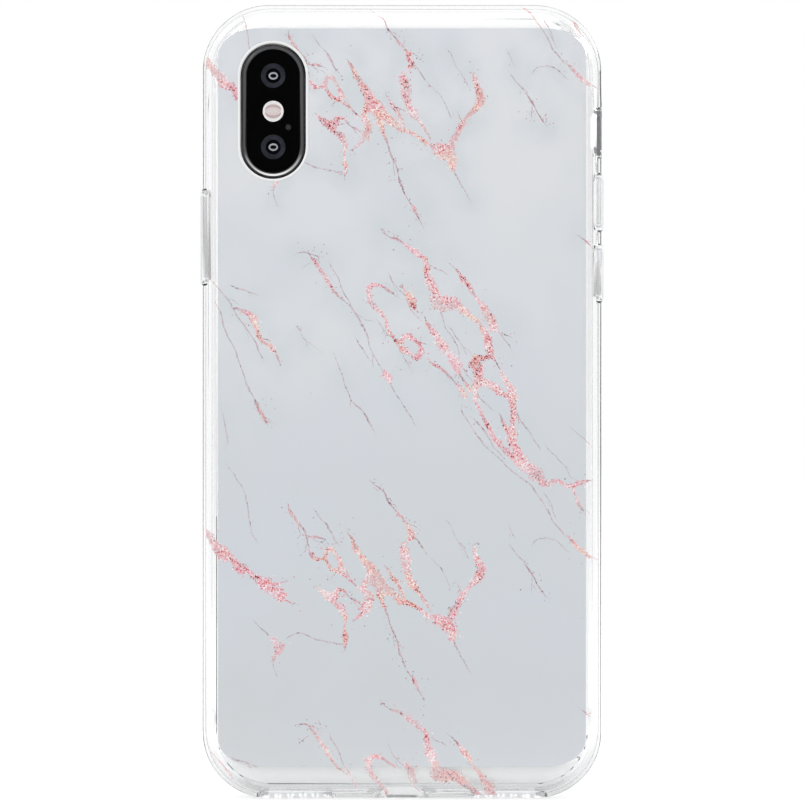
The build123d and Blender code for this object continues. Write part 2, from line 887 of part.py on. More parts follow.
# ---------------------------------------------------------------- boards
def board_screw_places():
    x_low, x_high = -contents_half + board_screw_inset, left_column_right - board_screw_inset
    z_low, z_high = board_low + board_screw_inset, board_high - board_screw_inset
    return [(x_low, z_low), (x_high, z_low), (x_low, z_high), (x_high, z_high)]


def board_outline():
    width = left_column_right + contents_half
    middle_x = (left_column_right - contents_half) / 2
    middle_z = (board_low + board_high) / 2
    shape = Pos(middle_x, middle_z) * RectangleRounded(width, board_length, board_corner)
    for x, z in board_screw_places():
        shape -= Pos(x, z) * Circle(board_screw_radius + layer_gap)
    return shape


def boards():
    rear = slab(board_outline(), y_board_rear_low, y_board_rear_high)
    front = slab(board_outline(), y_board_front_low, y_board_front_high)
    width = left_column_right + contents_half
    middle_x = (left_column_right - contents_half) / 2
    middle_z = (board_low + board_high) / 2
    rail = board_outline() - Pos(middle_x, middle_z) * Rectangle(
        width - 2 * board_rail - 2 * board_screw_inset,
        board_length - 2 * board_rail - 2 * board_screw_inset,
    )
    joint = slab(rail, y_board_rear_high, y_board_front_low)
    return rear, joint, front


def tray_zone():
    """The span of height that the card tray's cage takes over the front board."""
    half = tray_length / 2 - 0.8 + slide_gap + board_can_wall + part_gap
    return tray_z - half, tray_z + half


def board_shield_can():
    """A pressed metal can over the upper part of the front board."""
    z_low = max(tray_zone()[1], board_low + chip_margin)
    z_high = board_high - 2 * board_screw_inset
    x_low, x_high = -contents_half + chip_margin, left_column_right - chip_margin
    y_low, y_high = y_board_front_high, y_inside_high - part_gap / 2
    can = block(x_low, x_high, y_low, y_high, z_low, z_high)
    can = fillet(can.edges().filter_by(Axis.Y), 1.0)
    wall = board_can_wall
    return can - block(
        x_low + wall, x_high - wall, y_low - 1, y_high - wall, z_low + wall, z_high - wall,
    )


def chip_field(x_low, x_high, z_low, z_high, y_low, y_high, columns, rows):
    """Chips in a grid, each a little smaller than its place."""
    chips = []
    step_x, step_z = (x_high - x_low) / columns, (z_high - z_low) / rows
    for i in range(columns):
        for j in range(rows):
            shrink = chip_gap * (0.6 + 0.5 * ((i + 2 * j) % 3))
            x, z = x_low + i * step_x, z_low + j * step_z
            chips.append(block(
                x + shrink / 2, x + step_x - shrink / 2, y_low, y_high,
                z + shrink / 2, z + step_z - shrink / 2,
            ))
    return chips


def board_chips():
    """Chips on the rear board's rear face, round the screws."""
    x_low, x_high = -contents_half + chip_margin, left_column_right - chip_margin
    z_low, z_high = board_low + 2 * board_screw_inset, board_high - 2 * board_screw_inset
    y_low = y_board_rear_low - board_rear_chip_height
    return Compound(chip_field(x_low, x_high, z_low, z_high, y_low, y_board_rear_low, 3, 5))


def processor_package():
    """The processor with its memory on top, between the two boards."""
    middle_x = (left_column_right - contents_half) / 2
    z = (board_low + board_high) / 2 + 5
    half = 6.5
    y_low, y_high = y_board_rear_high, y_board_front_low - 0.3 * (y_board_front_low - y_board_rear_high)
    return block(middle_x - half, middle_x + half, y_low, y_high, z - half, z + half)


def board_screws():
    screws = []
    for x, z in board_screw_places():
        y_low, y_high = y_ferrite_high + layer_gap, y_board_front_high
        shank = rod_y(board_screw_radius, y_low, y_high, x, z)
        head_top = y_high + board_screw_head_height
        head = rod_y(board_screw_head_radius, y_high, head_top, x, z)
        slot = block(x - 2, x + 2, head_top - 0.12, head_top + 1, z - 0.12, z + 0.12)
        slot += block(x - 0.12, x + 0.12, head_top - 0.12, head_top + 1, z - 2, z + 2)
        screws.append(shank + head - slot)
    return Compound([screw.solids()[0] for screw in screws])


# ---------------------------------------------------------------- battery and charging coil
def cell(x_low, x_high, z_low, z_high):
    """A pouch cell: a block with soft edges, and a folded terrace along its top."""
    terrace = 2.5
    body = block(x_low, x_high, y_cell_low, y_cell_high, z_low, z_high - terrace)
    body = fillet(body.edges().filter_by(Axis.Y), cell_corner)
    body = fillet(body.faces().sort_by(Axis.Y)[-1].edges(), 0.5)
    middle = (y_cell_low + y_cell_high) / 2
    return body + block(
        x_low + cell_corner, x_high - cell_corner, middle - 0.6, middle + 0.6,
        z_high - terrace - 1, z_high,
    )


def battery_cells():
    return {
        "battery_long_cell": cell(right_column_left, contents_half, battery_low, long_cell_high),
        "battery_short_cell": cell(-contents_half, left_column_right, battery_low, short_cell_high),
    }


def battery_adhesive_strips():
    """Stretch-release strips under the cells, each with a pull tab past the cell's lower end."""
    strips = []
    y_low = y_ferrite_high + layer_gap
    for x_low, x_high, z_high in (
        (-contents_half, left_column_right, short_cell_high),
        (right_column_left, contents_half, long_cell_high),
    ):
        for share in (0.25, 0.75):
            x = x_low + share * (x_high - x_low)
            strips.append(block(
                x - strip_width / 2, x + strip_width / 2, y_low, y_low + strip_thickness,
                battery_low + 1, z_high - tab_length,
            ))
    return Compound(strips)


def charging_coil():
    """Round turns of flat wire, side by side."""
    turns = []
    step = (coil_outer_radius - coil_inner_radius) / coil_turns
    for i in range(coil_turns):
        inner = coil_inner_radius + i * step
        shape = Circle(inner + step - coil_turn_gap) - Circle(inner)
        turns.append(slab(
            Pos(0, z_phone_middle) * shape, y_coil_low, y_coil_low + coil_thickness,
        ))
    return Compound([turn.solids()[0] for turn in turns])


def ferrite_sheet():
    return rod_y(
        ferrite_radius, y_ferrite_low, y_ferrite_low + ferrite_thickness, 0, z_phone_middle,
    )


# ---------------------------------------------------------------- bottom bay
y_module_low = y_inside_low + part_gap / 2
y_module_high = y_inside_high - part_gap / 2
port_half = port_width / 2 + port_wall + part_gap
haptic_left = port_half + part_gap
speaker_right = -haptic_left
haptic_low = bay_low + 0.33 * bottom_bay_height


def haptic_room(end_gap=0.0, side_gap=0.0):
    """The room in the vibration motor, or a weight in it with gaps at its ends and sides."""
    wall = module_wall
    return block(
        haptic_left + wall + end_gap, contents_half - wall - end_gap,
        y_module_low + wall + side_gap, y_module_high - wall - side_gap,
        haptic_low + wall + side_gap, bay_high - part_gap - wall - side_gap,
    )


def haptic_engine_case():
    """The vibration motor's case, closed, with a room inside for the moving weight."""
    outer = block(
        haptic_left, contents_half, y_module_low, y_module_high, haptic_low, bay_high - part_gap,
    )
    return fillet(outer.edges().filter_by(Axis.Y), 0.8) - haptic_room()


def haptic_weight():
    """The heavy weight, free to swing sideways between the ends of its room."""
    return haptic_room(haptic_travel + haptic_end_gap, slide_gap)


def speaker_box():
    """The loudspeaker's box, open to the grille holes through a duct, with a round seat."""
    outer = inside_cavity(block(
        -contents_half, speaker_right, y_module_low, y_module_high, bay_low, bay_high - part_gap,
    ))
    outer -= rod_y(speaker_seat, y_module_low + module_wall, y_module_high + 1, speaker_x, speaker_z)
    duct_half = grille_window_width / 2 - 1
    x = -grille_from_middle
    return outer - block(
        x - duct_half, x + duct_half, y_middle - 0.8, y_middle + 0.8,
        bay_low - 1, speaker_z,
    )


speaker_x = (speaker_right - contents_half) / 2
speaker_z = (bay_low + 1.8 + bay_high) / 2
speaker_seat = min((speaker_right + contents_half) / 2, (bay_high - bay_low) / 2 - 0.9) - 2 * module_wall
y_cone = y_module_high - module_wall - speaker_travel - cone_thickness


def speaker_cone():
    """The diaphragm: a flat disc with a raised ring, free to move along Y in its seat."""
    radius = speaker_seat - slide_gap
    disc = rod_y(radius, y_cone, y_cone + cone_thickness, speaker_x, speaker_z)
    ring = rod_y(radius - cone_rim, y_cone - 0.2, y_cone + 0.1, speaker_x, speaker_z)
    ring -= rod_y(radius - 2 * cone_rim, y_cone - 1, y_cone + 1, speaker_x, speaker_z)
    return disc + ring


def speaker_magnet():
    """The magnet at the bottom of the seat, under the diaphragm."""
    y_low = y_module_low + module_wall
    y_high = y_cone - 0.2 - speaker_travel - layer_gap
    return rod_y(speaker_seat * 0.55, y_low, y_high, speaker_x, speaker_z)


def charging_port():
    """The socket: a shell closed at its inner end, with the contact tongue standing in it."""
    top = z_phone_low + port_depth
    grow = port_wall
    body = end_slot(
        port_width + 2 * grow, port_thickness + 2 * grow, cavity_low + layer_gap, top + grow, 0, y_middle,
    )
    body += end_slot(port_width, port_thickness, z_phone_low + 0.3, cavity_low + 1, 0, y_middle)
    body -= end_slot(
        port_width - 2 * grow, port_thickness - 2 * grow, z_phone_low - 1, top, 0, y_middle,
    )
    half_x, half_y = port_tongue_width / 2, port_tongue_thickness / 2
    tongue = block(
        -half_x, half_x, y_middle - half_y, y_middle + half_y, top - port_tongue_length, top + grow / 2,
    )
    return body + chamfer(tongue.faces().sort_by(Axis.Z)[0].edges(), 0.15)


def port_flex():
    """The flex circuit from the socket up to the boards, with its plug at the top."""
    top = z_phone_low + port_depth + port_wall
    low_y = y_module_low + 0.2
    thickness = 0.2
    width = 2 * port_half - 2 * part_gap
    strip = block(-width / 2, width / 2, low_y, low_y + thickness, top + 0.2, bay_high - part_gap)
    strip += block(
        -width / 2, width / 2, low_y, y_middle + port_thickness / 2, top + 0.2, top + 1.0,
    )
    return strip + block(-3, 3, low_y, low_y + 1.0, bay_high - 4, bay_high - 2.5)


def bottom_microphone():
    x = grille_from_middle
    half = bottom_mic_size / 2
    z_low = bay_low
    return block(
        x - half, x + half, y_middle - half, y_middle + half, z_low, z_low + bottom_mic_height,
    ) - rod_z(0.4, z_low - 1, z_low + 0.5, x, y_middle)


def grille_mesh():
    """Acoustic mesh: strips inside the band behind the grille holes, and one in the earpiece slot."""
    strips = []
    half = grille_window_width / 2
    for side in (-1, 1):
        x = side * grille_from_middle
        strips.append(block(
            x - half, x + half, y_middle - 1.2, y_middle + 1.2,
            cavity_low + layer_gap, cavity_low + 0.2,
        ))
    strips = [inside_cavity(strip, layer_gap).solids()[0] for strip in strips]
    ear = earpiece_slot(layer_gap, y_glass_low + 0.1, y_phone_front - earpiece_mesh_recess)
    return Compound(strips + [ear.solids()[0]])


# ---------------------------------------------------------------- all pieces
def all_pieces():
    frame, antennas = steel_frame_and_antennas()
    rear_board, interposer, front_board = boards()
    pieces = {
        "case_shell": case_shell(),
        "case_back_panel": case_back_panel(),
        "case_print_film": case_print_film(),
        "steel_frame": frame,
        "antenna_breaks": antennas,
        "front_glass": front_glass(),
        "display_gasket": display_gasket(),
        "oled_panel": oled_panel(),
        "display_shield_plate": display_shield_plate(),
        "rear_glass": rear_glass(),
        "rear_support_plate": rear_support_plate(),
        "ring_switch_lever": ring_switch_lever(),
        "ring_switch_base": ring_switch_base(),
        "sim_tray": sim_tray(),
        "button_flexes": button_flexes(),
        "sim_reader": sim_reader(),
        "end_screws": end_screws(),
        "camera_island_ring": camera_island_ring(),
        "camera_cover_glass": camera_cover_glass(),
        "flash_diffuser": flash_diffuser(),
        "flash_led_module": flash_led_module(),
        "rear_microphone": rear_microphone(),
        "camera_bracket": camera_bracket(),
        "sensor_bracket": sensor_bracket(),
        "main_board_rear": rear_board,
        "board_interposer": interposer,
        "main_board_front": front_board,
        "board_shield_can": board_shield_can(),
        "board_chips": board_chips(),
        "processor_package": processor_package(),
        "board_screws": board_screws(),
        "battery_adhesive_strips": battery_adhesive_strips(),
        "charging_coil": charging_coil(),
        "ferrite_sheet": ferrite_sheet(),
        "haptic_engine_case": haptic_engine_case(),
        "haptic_weight": haptic_weight(),
        "speaker_box": speaker_box(),
        "speaker_cone": speaker_cone(),
        "speaker_magnet": speaker_magnet(),
        "charging_port": charging_port(),
        "port_flex": port_flex(),
        "bottom_microphone": bottom_microphone(),
        "grille_mesh": grille_mesh(),
    }
    pieces.update(front_sensors())
    pieces.update(battery_cells())
    pieces.update({name + "_pad": pad for name, pad in case_pads().items()})
    pieces.update({name + "_button": cap for name, cap in buttons().items()})
    for name, z in lens_heights.items():
        pieces[name + "_camera_housing"] = camera_housing(z)
        pieces[name + "_camera_barrel"] = camera_barrel(z)
    return pieces


def main():
    os.makedirs("parts", exist_ok=True)
    for name, shape in all_pieces().items():
        export_step(shape, f"parts/{name}.step")


main()
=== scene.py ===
# %% [markdown]
# # A phone in a clear bumper with a marble back
#
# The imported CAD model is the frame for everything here. Loading it first gives every node's
# box, which most pieces below take their place from. Blender's lengths are in metres, so a
# size in millimetres is multiplied by MM.

# %% Load the frame
import json
import math

import bmesh
import bpy
import numpy as np
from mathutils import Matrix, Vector
from mathutils.geometry import delaunay_2d_cdt

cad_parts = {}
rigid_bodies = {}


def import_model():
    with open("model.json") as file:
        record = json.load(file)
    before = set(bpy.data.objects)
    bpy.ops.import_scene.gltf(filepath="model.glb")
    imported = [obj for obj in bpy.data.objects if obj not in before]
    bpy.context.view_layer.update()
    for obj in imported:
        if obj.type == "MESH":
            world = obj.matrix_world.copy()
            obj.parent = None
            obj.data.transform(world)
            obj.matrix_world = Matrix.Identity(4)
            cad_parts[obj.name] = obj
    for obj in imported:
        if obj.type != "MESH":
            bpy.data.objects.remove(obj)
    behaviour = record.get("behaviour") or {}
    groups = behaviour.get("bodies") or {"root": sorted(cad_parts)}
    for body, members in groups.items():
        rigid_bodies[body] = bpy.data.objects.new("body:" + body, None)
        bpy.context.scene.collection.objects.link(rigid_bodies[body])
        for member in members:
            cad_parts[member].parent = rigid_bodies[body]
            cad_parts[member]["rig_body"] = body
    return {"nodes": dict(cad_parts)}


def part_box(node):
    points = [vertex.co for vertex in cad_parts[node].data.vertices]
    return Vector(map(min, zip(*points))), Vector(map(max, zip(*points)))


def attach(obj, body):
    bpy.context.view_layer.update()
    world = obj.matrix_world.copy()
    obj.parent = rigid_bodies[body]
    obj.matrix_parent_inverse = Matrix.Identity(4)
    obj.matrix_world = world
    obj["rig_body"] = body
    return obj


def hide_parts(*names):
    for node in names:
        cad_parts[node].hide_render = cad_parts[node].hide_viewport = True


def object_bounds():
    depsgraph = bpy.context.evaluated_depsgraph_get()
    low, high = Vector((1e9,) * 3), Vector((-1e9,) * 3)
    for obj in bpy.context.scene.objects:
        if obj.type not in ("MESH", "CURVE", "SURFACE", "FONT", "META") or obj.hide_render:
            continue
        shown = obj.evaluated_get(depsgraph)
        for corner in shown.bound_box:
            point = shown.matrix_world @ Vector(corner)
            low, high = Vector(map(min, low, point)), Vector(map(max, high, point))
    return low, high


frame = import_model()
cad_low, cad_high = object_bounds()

MM = 0.001


def size_in_mm(low, high):
    return [round(v / MM, 1) for v in high - low]


print("nodes", len(frame["nodes"]), "box in mm", size_in_mm(cad_low, cad_high))

# %% [markdown]
# ## Camera
#
# A long lens from about 0.8 m away keeps the perspective slight. The camera stands level with
# the middle of the phone and looks straight at its back, which faces -Y.

# %% Camera
VIEW_HEIGHT = 148.05 * MM       # what the square frame takes in at the back of the case
LENS, SENSOR = 200.0, 36.0
DROP = 0.1 * MM                 # the camera stands this much below the middle


def add_object(name, data):
    """An object that holds this data, linked into the scene."""
    thing = bpy.data.objects.new(name, data)
    bpy.context.scene.collection.objects.link(thing)
    return thing


camera_data = bpy.data.cameras.new("camera")
camera_data.lens, camera_data.sensor_width = LENS, SENSOR
camera_data.clip_start, camera_data.clip_end = 0.01, 50
camera = add_object("camera", camera_data)
distance = VIEW_HEIGHT * LENS / SENSOR
middle_z = (cad_low.z + cad_high.z) / 2
camera.location = (0.0, cad_low.y - distance, middle_z - DROP)
camera.rotation_euler = (math.radians(90), 0, 0)
bpy.context.scene.camera = camera
print("camera distance", round(distance, 3))

# %% [markdown]
# ## Node helpers
#
# Every material below is built from the same few moves: make a node, set its sockets, link it.
# Helpers for the moves that come again and again keep each material short enough to read.


# %% Node helpers
def feed(tree, node, **sockets):
    """Sets sockets by name, or by number as i0, i1: an output is linked, anything else is set."""
    for key, value in sockets.items():
        numbered = key[0] == "i" and key[1:].isdigit()
        socket = node.inputs[int(key[1:]) if numbered else key.replace("_", " ")]
        if isinstance(value, bpy.types.NodeSocket):
            tree.links.new(value, socket)
        elif socket.type == "RGBA" and len(value) == 3:
            socket.default_value = (*value, 1)
        else:
            socket.default_value = value


def add_node(tree, kind, settings=None, **sockets):
    node = tree.nodes.new(kind)
    for key, value in (settings or {}).items():
        setattr(node, key, value)
    feed(tree, node, **sockets)
    return node


def add_group(tree, group, **sockets):
    return add_node(tree, "ShaderNodeGroup", {"node_tree": group}, **sockets)


def maths(tree, operation, a, b=0.0, add=0.5, clamp=False):
    """A Math node's output; the third value only counts where the operation adds one."""
    settings = {"operation": operation, "use_clamp": clamp}
    return add_node(tree, "ShaderNodeMath", settings, i0=a, i1=b, i2=add).outputs[0]


def ramp(tree, factor, stops, smooth=True):
    """A colour ramp from (position, colour) pairs; a plain number is a grey."""
    node = add_node(tree, "ShaderNodeValToRGB", None, Fac=factor)
    node.color_ramp.interpolation = "EASE" if smooth else "CONSTANT"
    marks = node.color_ramp.elements
    while len(marks) < len(stops):
        marks.new(0.5)
    for mark, (position, colour) in zip(marks, stops):
        grey = isinstance(colour, (int, float))
        mark.position = position
        mark.color = (colour, colour, colour, 1) if grey else (*colour, 1)
    return node.outputs[0]


def mixed(tree, factor, a, b, blend="MIX"):
    """A mix of two colours, which on this node are sockets 6 and 7."""
    settings = {"data_type": "RGBA", "blend_type": blend}
    return add_node(tree, "ShaderNodeMix", settings, i0=factor, i6=a, i7=b).outputs[2]


def spread(tree, value, low, high, to_low=0.0, to_high=1.0):
    """A Map Range node's output: low to high becomes to_low to to_high, and no further."""
    return add_node(
        tree, "ShaderNodeMapRange", None, Value=value, From_Min=low, From_Max=high,
        To_Min=to_low, To_Max=to_high,
    ).outputs[0]


def object_place(tree):
    return add_node(tree, "ShaderNodeTexCoord").outputs["Object"]


def axes_of(tree, vector):
    return add_node(tree, "ShaderNodeSeparateXYZ", None, Vector=vector).outputs


def noise(tree, place, scale, detail=2.0, **sockets):
    node = add_node(
        tree, "ShaderNodeTexNoise", None, Vector=place, Scale=scale, Detail=detail, **sockets)
    return node.outputs["Fac"]


def vertex_number(tree, name):
    """One of the named numbers that a mesh carries on its vertices."""
    return add_node(tree, "ShaderNodeAttribute", {"attribute_name": name}).outputs["Fac"]


def dented(tree, strength, depth, height):
    """A Bump node's normal."""
    return add_node(
        tree, "ShaderNodeBump", None, Strength=strength, Distance=depth, Height=height).outputs[0]


def linear(red, green, blue):
    """An everyday 0 to 255 colour as the linear numbers that shaders use."""
    def one(v):
        v /= 255
        return v / 12.92 if v <= 0.04045 else ((v + 0.055) / 1.055) ** 2.4
    return one(red), one(green), one(blue)


# Emission: the thing glows of its own. On the table it keeps the floor evenly bright; on the phone's
# parts it is painted light.
def glow(strength, colour=(1, 1, 1)):
    return {"Emission_Color": colour, "Emission_Strength": strength}


def new_material(name, **sockets):
    """A material with one Principled BSDF; its uniform numbers are set on the shader itself."""
    material = bpy.data.materials.new(name)
    material.use_nodes = True
    tree = material.node_tree
    shader = tree.nodes["Principled BSDF"]
    feed(tree, shader, **sockets)
    return material, tree, shader


def new_group(name, inputs, outputs, kind="ShaderNodeTree"):
    """A node group with named inputs (name, type, default) and outputs (name, type)."""
    group = bpy.data.node_groups.new(name, kind)
    for label, socket_type in outputs:
        group.interface.new_socket(label, in_out="OUTPUT", socket_type="NodeSocket" + socket_type)
    for label, socket_type, default in inputs:
        socket = group.interface.new_socket(
            label, in_out="INPUT", socket_type="NodeSocket" + socket_type)
        if default is not None:
            socket.default_value = default
    return group, group.nodes.new("NodeGroupInput").outputs


# %% [markdown]
# ## World, lights and floor
#
# Clear plastic needs a bright field round it: white nearly all round, so that light comes
# through it from everywhere, and greyer in a belt all round its outline, which draws the thin
# grey lines along its edges. The world does this by direction. What the camera sees directly is
# plain white, through a Light Path node, so the backdrop stays clean. Straight behind the
# camera it is dark, or the black glass of the camera island would mirror a white sheet. The floor
# is a lit table: it glows a little of its own, so no dark foot forms under the clear bumper.
# It ends just in front of the phone, so the glossy back doesn't mirror its near edge as a step.

# %% World
world = bpy.data.worlds.new("bright field")
bpy.context.scene.world = world
world.use_nodes = True
sky = world.node_tree
sky.nodes.clear()
depthways = axes_of(sky, add_node(sky, "ShaderNodeTexCoord").outputs["Generated"])["Y"]
belt = ramp(
    sky, maths(sky, "ABSOLUTE", depthways), [(0.0, 0.50), (0.24, 0.72), (0.5, 1.0), (1.0, 1.0)])
flag = ramp(
    sky, maths(sky, "MULTIPLY", depthways, -1.0),
    [(0.0, 1.0), (0.90, 1.0), (0.965, 0.05), (1.0, 0.02)])
field = mixed(sky, 1.0, belt, flag, "MULTIPLY")
field_light = add_node(sky, "ShaderNodeBackground", None, Color=field, Strength=1.06)
backdrop = add_node(sky, "ShaderNodeBackground", None, Color=(1, 1, 1), Strength=1.0)
is_camera = add_node(sky, "ShaderNodeLightPath").outputs["Is Camera Ray"]
choice = add_node(
    sky, "ShaderNodeMixShader", None, i0=is_camera, i1=field_light.outputs[0],
    i2=backdrop.outputs[0],
)
add_node(sky, "ShaderNodeOutputWorld", None, Surface=choice.outputs[0])

# %% Lights
phone_middle = Vector((0, 0, middle_z))


def soft_box(name, place, size, watts):
    """A square area light aimed at the middle of the phone."""
    data = bpy.data.lights.new(name, "AREA")
    data.shape, data.size, data.energy = "SQUARE", size, watts
    lamp = add_object(name, data)
    lamp.location = place
    lamp.rotation_euler = (phone_middle - Vector(place)).to_track_quat("-Z", "Y").to_euler()


soft_box("key", (-1.1, -1.0, 1.3), size=0.9, watts=9.0)
soft_box("rim", (1.2, 1.0, 0.9), size=0.7, watts=5.0)

overhead = bpy.data.lights.new("overhead", "SUN")
overhead.energy, overhead.angle = 0.35, math.radians(50)
add_object("overhead", overhead).rotation_euler = (math.radians(-12), 0, 0)

# %% Floor
TABLE = ((-0.7, -0.06), (0.7, -0.06), (0.7, 3.5), (-0.7, 3.5))      # corners in X and Y
table_mesh = bpy.data.meshes.new("studio_floor")
table_mesh.from_pydata([(x, y, 0.0) for x, y in TABLE], [], [(0, 1, 2, 3)])
floor = add_object("studio_floor", table_mesh)
paper, paper_tree, paper_shader = new_material(
    "lit table", Roughness=0.6, Specular_IOR_Level=0.1, **glow(0.68))
fibre = noise(paper_tree, object_place(paper_tree), 900.0, 3.0)
feed(paper_tree, paper_shader, Base_Color=ramp(paper_tree, fibre, [(0.3, 0.36), (0.7, 0.40)]))
floor.data.materials.append(paper)
bpy.context.scene.view_settings.view_transform = "Standard"

# %% [markdown]
# ## Shared shader group: moulded or milled surface
#
# No factory surface is perfectly even. This group turns a fine and a broad noise into three
# things: a slightly uneven colour, an uneven roughness, and a height for a faint bump. Each
# material feeds it its own two colours, roughness range and grain size.


# %% Surface group
def surface_group():
    group, given = new_group("uneven surface", (
        ("Grain", "Float", 900.0), ("Colour A", "Color", (0.5, 0.5, 0.5, 1)),
        ("Colour B", "Color", (0.6, 0.6, 0.6, 1)), ("Rough low", "Float", 0.3),
        ("Rough high", "Float", 0.5), ("Stretch", "Vector", (1, 1, 1)),
    ), (("Colour", "Color"), ("Roughness", "Float"), ("Height", "Float")))
    place = object_place(group)
    stretched = add_node(
        group, "ShaderNodeVectorMath", {"operation": "MULTIPLY"}, i0=place, i1=given["Stretch"])
    fine = noise(group, stretched.outputs[0], given["Grain"], 4.0)
    broad = noise(group, place, 60.0)
    both = maths(
        group, "ADD", maths(group, "MULTIPLY", fine, 0.6), maths(group, "MULTIPLY", broad, 0.4))
    tone = mixed(group, spread(group, both, 0.35, 0.65), given["Colour A"], given["Colour B"])
    rough = spread(group, broad, 0.3, 0.7, given["Rough low"], given["Rough high"])
    add_node(group, "NodeGroupOutput", None, Colour=tone, Roughness=rough, Height=fine)
    return group


UNEVEN = surface_group()
GRAIN_DEPTH, RIPPLE_DEPTH = 0.02 * MM, 0.01 * MM      # how deep the bumps of solids and clears go


def finish_material(name, colour, vary, rough, grain, bump=0.0, stretch=(1, 1, 1), **sockets):
    """A material on the shared group: its colour varies by a share, its roughness between two."""
    material, tree, shader = new_material(name, **sockets)
    darker = tuple(max(0.0, c * (1 - vary)) for c in colour)
    lighter = tuple(min(1.0, c * (1 + vary)) for c in colour)
    surface = add_group(
        tree, UNEVEN, Grain=grain, Colour_A=darker, Colour_B=lighter, Rough_low=rough[0],
        Rough_high=rough[1], Stretch=stretch,
    ).outputs
    feed(tree, shader, Base_Color=surface["Colour"], Roughness=surface["Roughness"])
    if bump:
        feed(tree, shader, Normal=dented(tree, bump, GRAIN_DEPTH, surface["Height"]))
    return material


# %% [markdown]
# ## Finishes
#
# One line per finish, named for what it is on the phone: its colour, by what share the colour
# varies, its lowest and highest roughness, its grain and its bump. Rolled and milled metals also
# carry a stretch, so that their grain runs one way. A glow on a finish is painted light: the part
# glows of its own, though it is no lamp.

# %% Finishes
FINISHES = {}


def finish(name, *numbers, **sockets):
    FINISHES[name] = finish_material(name, *numbers, **sockets)


# Painted light: polished steel, antenna plastic, rear glass and grille steel glow, which lightens them
# where they lie behind clear plastic or down in holes.
finish("polished steel", (0.955, 0.955, 0.96), 0.01, (0.34, 0.4), 500, Metallic=1.0, **glow(0.34))
finish("antenna plastic", (0.88, 0.88, 0.88), 0.04, (0.4, 0.5), 2000, 0.1, **glow(0.34))
finish("seal rubber", (0.02, 0.02, 0.02), 0.2, (0.6, 0.75), 3000, 0.2)
finish("display stack", (0.012, 0.012, 0.016), 0.1, (0.1, 0.2), 200)
finish(
    "milled aluminium", (0.55, 0.56, 0.58), 0.06, (0.28, 0.4), 700, 0.15, (1, 1, 12), Metallic=1.0)
finish("rear glass", linear(246, 246, 245), 0.01, (0.05, 0.08), 100, Coat_Weight=1.0, **glow(0.48))
finish("mic mesh", (0.045, 0.045, 0.047), 0.6, (0.5, 0.6), 6000, 0.3, Specular_IOR_Level=0.1)
finish("lens black", (0.008, 0.008, 0.01), 0.2, (0.35, 0.5), 2500, 0.15)
finish("nickel can", (0.60, 0.60, 0.58), 0.05, (0.25, 0.36), 900, 0.1, (8, 1, 1), Metallic=1.0)
finish("board laminate", (0.015, 0.05, 0.09), 0.2, (0.3, 0.42), 1500, 0.15)
finish("chip resin", (0.018, 0.018, 0.02), 0.2, (0.45, 0.6), 3500, 0.25)
finish("screw steel", (0.62, 0.62, 0.64), 0.05, (0.2, 0.3), 3000, 0.05, Metallic=1.0)
finish("cell wrap", (0.02, 0.02, 0.022), 0.25, (0.35, 0.5), 300, 0.6)
finish("white tape", (0.8, 0.8, 0.77), 0.04, (0.5, 0.6), 1200, 0.1)
finish("copper wire", (0.72, 0.36, 0.2), 0.1, (0.22, 0.32), 900, 0.1, (1, 6, 1), Metallic=1.0)
finish("ferrite", (0.035, 0.035, 0.04), 0.15, (0.4, 0.55), 900, 0.1)
finish("dense weight", (0.30, 0.30, 0.32), 0.08, (0.3, 0.42), 1800, 0.2, Metallic=1.0)
finish("speaker plastic", (0.02, 0.02, 0.022), 0.15, (0.45, 0.55), 2200, 0.2)
finish("cone film", (0.05, 0.05, 0.055), 0.1, (0.3, 0.4), 500, 0.1)
finish("bright nickel", (0.72, 0.71, 0.68), 0.03, (0.1, 0.18), 800, Metallic=1.0)
finish("socket steel", (0.55, 0.55, 0.56), 0.05, (0.25, 0.35), 1400, 0.05, Metallic=1.0)
finish("grille steel", (0.85, 0.85, 0.85), 0.04, (0.35, 0.45), 4000, 0.2, Metallic=1.0, **glow(0.6))
finish("flex circuit", (0.32, 0.13, 0.02), 0.15, (0.3, 0.4), 700, 0.05)
finish("sensor black", (0.015, 0.015, 0.02), 0.15, (0.3, 0.45), 1800, 0.1)
finish("flash phosphor", (0.85, 0.62, 0.2), 0.1, (0.4, 0.5), 2500, 0.1)
finish("black ink", (0.0008, 0.0008, 0.001), 0.1, (0.2, 0.3), 900, Specular_IOR_Level=0.0)
print("finishes", len(FINISHES))

# %% [markdown]
# ## Clear plastics and glass
#
# Clear parts keep a plain Transmission Weight of 1 and a very light tint. The soft bumper is a
# touch rougher than the hard back panel. Its IOR is set lower than real plastic's, which keeps
# its thick rounded edges light. Its tint deepens near its foot: painted shade, which makes it
# darker towards the bottom.

# %% Clear materials
# Painted shade: the bumper is darkened towards its foot, deepest at the very bottom.
FOOT_SHADE_HEIGHT = 12 * MM       # the bumper's tint deepens below this
TOE_SHADE_SHARE = 0.86            # how much of the foot's tint is left at the very bottom


def clear_material(name, tint, roughness, ior, ripple, foot=None):
    """Clear plastic or glass with a faint ripple and, if asked, painted shade: a deeper tint low down.
    """
    material, tree, shader = new_material(
        name, Transmission_Weight=1.0, IOR=ior, Roughness=roughness, Base_Color=tint)
    place = object_place(tree)
    if foot:
        rise = spread(tree, axes_of(tree, place)["Z"], 0.0, FOOT_SHADE_HEIGHT)
        toe_shade = tuple(c * TOE_SHADE_SHARE for c in foot)
        feed(tree, shader, Base_Color=ramp(tree, rise, [(0.05, toe_shade), (0.45, foot), (1.0, tint)]))
    feed(tree, shader, Normal=dented(tree, ripple, RIPPLE_DEPTH, noise(tree, place, 160.0)))
    return material


